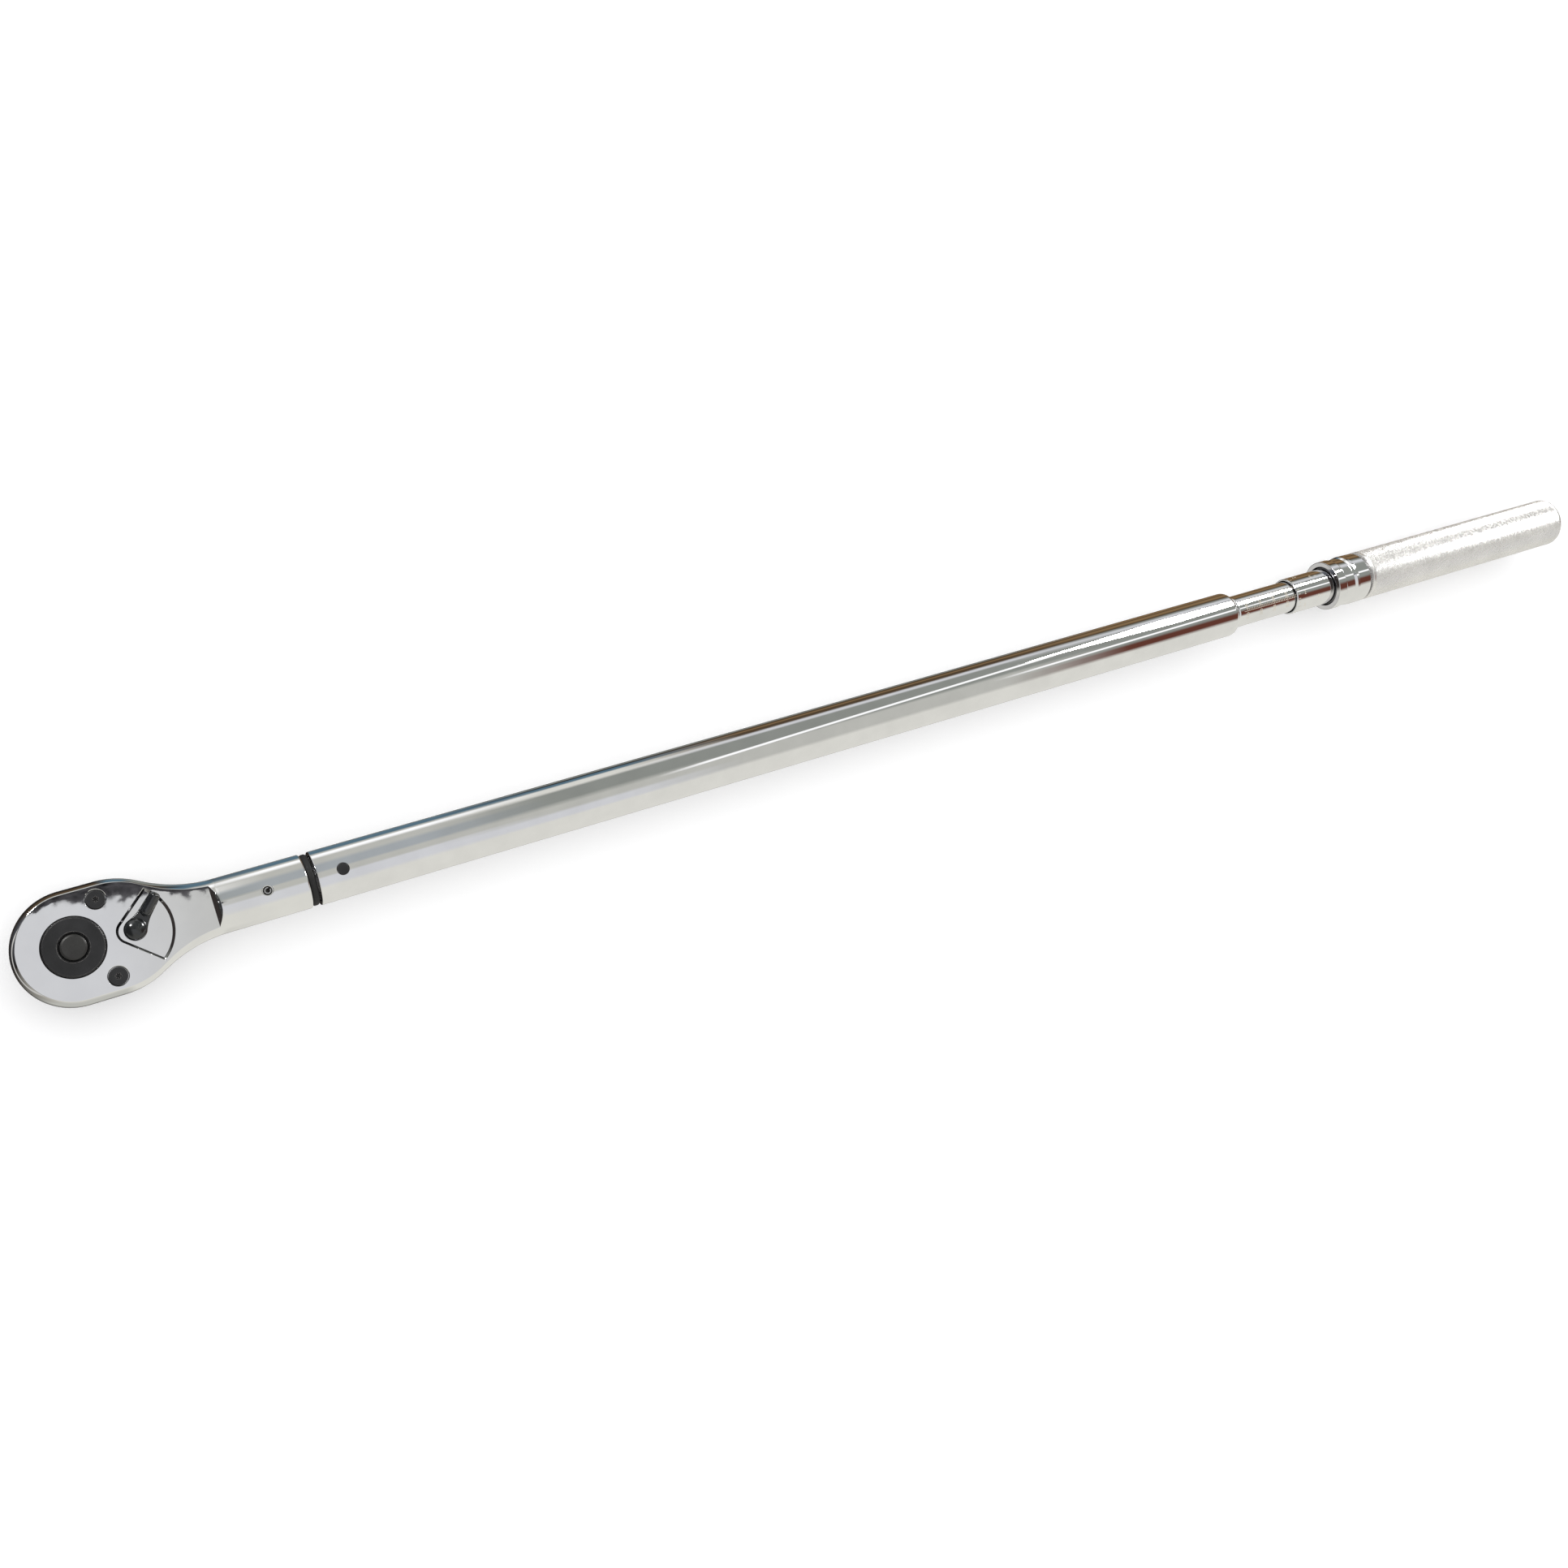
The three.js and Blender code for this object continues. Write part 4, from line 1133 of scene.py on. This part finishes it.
# A band is (first angle, last angle, tone), in degrees from straight up towards +Y.
FLOOR = [(-180, -178, DARK), (-165, -55, PALE)]
BY_HEAD = [(-180, -175, DARK), (-150, -130, DIM), (-110, -40, PALE), (-20, 10, COOL), (13, 40, GREY),
    (58, 74, LAMP), (85, 115, DIM), (130, 135, BROWN), (145, 180, DARK)]
NEAR = FLOOR + [(-40, -12, COOL), (-5, 12, DIM), (20, 45, SLATE), (60, 80, DIM), (92, 100, LAMP),
    (107, 109, DIM), (118, 145, BLUE), (156, 158, GREY), (170, 180, DARK)]
SECOND = FLOOR + [(-45, -25, COOL), (-15, 5, DIM), (25, 70, GREY), (82, 100, PALE), (110, 120, BLUE),
    (130, 132, DARK), (145, 147, GREY), (170, 180, DARK)]
MIDDLE = FLOOR + [(-40, 8, DIM), (20, 70, GREY), (78, 85, COOL), (95, 110, BROWN), (115, 117, WOOD),
    (125, 135, BROWN), (147, 149, GREY), (170, 180, DARK)]
FAR = FLOOR + [(-40, -20, RUST), (-8, 12, GREY), (20, 58, GREY), (70, 78, COOL), (85, 87, GREY),
    (95, 97, BROWN), (107, 117, WOOD), (127, 129, BROWN), (137, 148, WOOD), (170, 180, DARK)]
ZONES = ((SECOND, 0.21, 0.28), (MIDDLE, 0.32, 0.39), (FAR, 0.53, 0.59))  # bands, fading in from, to
CHROME_SHARE = 0.9  # how much of the room's light the chrome gives back


RAGGED = 0.22 / 360  # how far the edges of the reflections wander, in turns


def build_world():
    world = bpy.data.worlds.new("studio")
    bpy.context.scene.world = world
    world.use_nodes = True
    n = Nodes(world.node_tree)
    way = n.add("ShaderNodeTexCoord").outputs["Generated"]
    split = n.add("ShaderNodeSeparateXYZ")
    n.link(way, split.inputs[0])
    along, across, up = split.outputs
    ragged = n.add("ShaderNodeTexNoise")
    ragged.inputs["Scale"].default_value = 130
    ragged.inputs["Detail"].default_value = 5
    ragged.inputs["Roughness"].default_value = 0.6
    n.link(way, ragged.inputs["Vector"])
    turn = n.math("ADD", n.math("DIVIDE", n.math("ARCTAN2", across, up), 2 * math.pi),
        n.spread(ragged.outputs[0], -RAGGED, RAGGED))
    place = n.math("ADD", turn, 0.5)

    def surroundings(bands):
        stops = []
        for first, last, tone in bands:
            colour = tuple(grey(level)[0] / CHROME_SHARE for level in tone)
            stops += [(first / 360 + 0.5, colour), (last / 360 + 0.5, colour)]
        return n.ramp(place, stops)

    def stripe(middle, width, first, last):
        """A sharp bright line that drifts round as it runs along; middle is (angle, angle per unit)."""
        centre = n.math("ADD", n.math("MULTIPLY", along, middle[1] / 360), 0.5 + middle[0] / 360)
        off = n.math("ABSOLUTE", n.math("SUBTRACT", place, centre))
        inside_width = n.spread(off, 1, 0, 0.35 * width / 360, 0.65 * width / 360)
        started = n.spread(along, 0, 1, *first)
        return n.math("MULTIPLY", inside_width, n.math("MULTIPLY", started, n.spread(along, 1, 0, *last)))

    near = n.mix(n.spread(along, 0, 1, 0.03, 0.12), surroundings(BY_HEAD), surroundings(NEAR))
    edge = n.math("ADD", n.math("ADD", across, n.math("MULTIPLY", along, 0.16)),
        n.spread(ragged.outputs[0], -0.006, 0.006))
    darkness = n.math("MULTIPLY", n.spread(edge, 0, 1, 0.0778, 0.0786), n.spread(place, 1, 0, 0.525, 0.533))
    darkness = n.math("MULTIPLY", darkness, n.spread(along, 1, 0, 0.088, 0.094))
    patches = n.spread(ragged.outputs[0], 0, 1, 0.35, 0.65)
    patchy = n.mix(patches, grey(24, (1, 1, 1.1)), grey(84, (1, 0.97, 1.05)))
    near = n.mix(darkness, near, patchy)  # dark ragged reflection along the head's upper edge
    studio = near
    for bands, start, end in ZONES:
        studio = n.mix(n.spread(along, 0, 1, start, end), studio, surroundings(bands))
    white = (1.1, 1.1, 1.1)
    studio = n.mix(stripe((-49, 160), 9, (0.34, 0.37), (0.552, 0.562)), studio, white)
    studio = n.mix(stripe((-38, 68), 8, (0.525, 0.55), (2, 3)), studio, white)
    behind = n.ramp(place, [(0.0, (0.03, 0.026, 0.022)), (0.20, (0.62, 0.6, 0.54)), (0.30, (0.66, 0.65, 0.6)),
        (0.40, (0.05, 0.042, 0.038)), (0.62, (0.03, 0.026, 0.026)),
        (0.74, (0.12, 0.13, 0.15)), (1.0, (0.02, 0.018, 0.018))])
    studio = n.mix(n.spread(along, 1, 0, -0.55, -0.35), studio, behind)
    lit = n.math("MULTIPLY", n.spread(along, 0, 1, -0.73, -0.715), n.spread(along, 1, 0, -0.65, -0.635))
    lit = n.math("MULTIPLY", lit, n.spread(up, 1, 0, -0.3, 0.0))
    studio = n.mix(lit, studio, (0.56, 0.55, 0.53))
    path = n.add("ShaderNodeLightPath")
    soft = n.mix(path.outputs["Is Diffuse Ray"], studio, (0.92, 0.92, 0.93))
    seen = n.mix(path.outputs["Is Camera Ray"], soft, (0.96, 0.96, 0.96))
    background = n.add("ShaderNodeBackground")
    n.link(seen, background.inputs[0])
    output = n.add("ShaderNodeOutputWorld")
    n.link(background.outputs[0], output.inputs[0])


SOFTBOX_POWER = 9  # watts
LAMP_POWER = 10
LAMP_DISTANCE = 1.4  # metres from the lever


def build_lights():
    """A wide softbox overhead, and two small lamps seen only as glints in glossy parts."""
    light = bpy.data.lights.new("softbox", "AREA")
    light.shape = "RECTANGLE"
    light.size = 2.6
    light.size_y = 1.6
    light.energy = SOFTBOX_POWER
    softbox = placed("softbox", light)
    softbox.location = (0.55, 0.35, 1.9)
    softbox.rotation_euler = (Vector((0.5, 0, 0)) - softbox.location).to_track_quat("-Z", "Y").to_euler()
    softbox.visible_glossy = False
    lamps = (("lamp_left", (-0.36, 0.65, 0.67), 0.22), ("lamp_right", (0.88, 0.33, 0.34), 0.3))
    for name, way, size in lamps:
        light = bpy.data.lights.new(name, "AREA")
        light.size = size
        light.energy = LAMP_POWER
        lamp = placed(name, light)
        lamp.visible_diffuse = False
        lamp.location = Vector((LEVER_X, 0, 0)) + Vector(way).normalized() * LAMP_DISTANCE
        lamp.rotation_euler = (-Vector(way)).to_track_quat("-Z", "Y").to_euler()


# The camera stands a metre over the head and looks down the tool at an angle.
CAMERA_PLACE = (-11.3 * MM, -52.4 * MM, 1000.5 * MM)
CAMERA_RIGHT = Vector((0.8756, -0.2987, 0.3796))
CAMERA_UP = Vector((0.2639, 0.9540, 0.1421))
CAMERA_LENS = 38.94


def build_camera():
    camera = bpy.data.cameras.new("camera")
    camera.lens = CAMERA_LENS
    camera.sensor_width = 36
    camera.clip_start = 0.01
    obj = placed("camera", camera)
    back = CAMERA_RIGHT.cross(CAMERA_UP)
    axes = Matrix((CAMERA_RIGHT, CAMERA_UP, back)).transposed()
    obj.matrix_world = Matrix.Translation(CAMERA_PLACE) @ axes.to_4x4()
    bpy.context.scene.camera = obj


build_head()
build_cover()
build_cover_screw("cover_bolt_upper", "cover_screw_upper", 1)
build_cover_screw("cover_bolt_lower", "cover_screw_lower", -1)
build_drive()
build_button()
ball("detent_ball", "socket_ball", GROUND, "socket_ball")
ball("lock_bead_left", "lock_ball_left", GROUND, "handle")
ball("lock_bead_right", "lock_ball_right", GROUND, "handle")
build_lever()
build_dust_ring()
build_head_pin()
build_pivot_pin()
build_tube()
build_barrel()
build_barrel_scale()
build_thimble()
build_thimble_scale()
build_lock_ring()
build_ring_lining()
build_grip()
build_end_cap()
build_end_screw()
build_spring("preload_spring", "main_spring", "tube", 10.1 * MM, 2.2 * MM, 19, X)
build_spring("button_spring", "release_spring", "drive", 2.8 * MM, 0.4 * MM, 4, Z)
build_spring("collar_spring", "lock_spring", "handle", 15 * MM, 0.45 * MM, 2, X)
dress_inside()
build_floor()
build_world()
build_lights()
build_camera()
bpy.context.scene.view_settings.view_transform = "Standard"
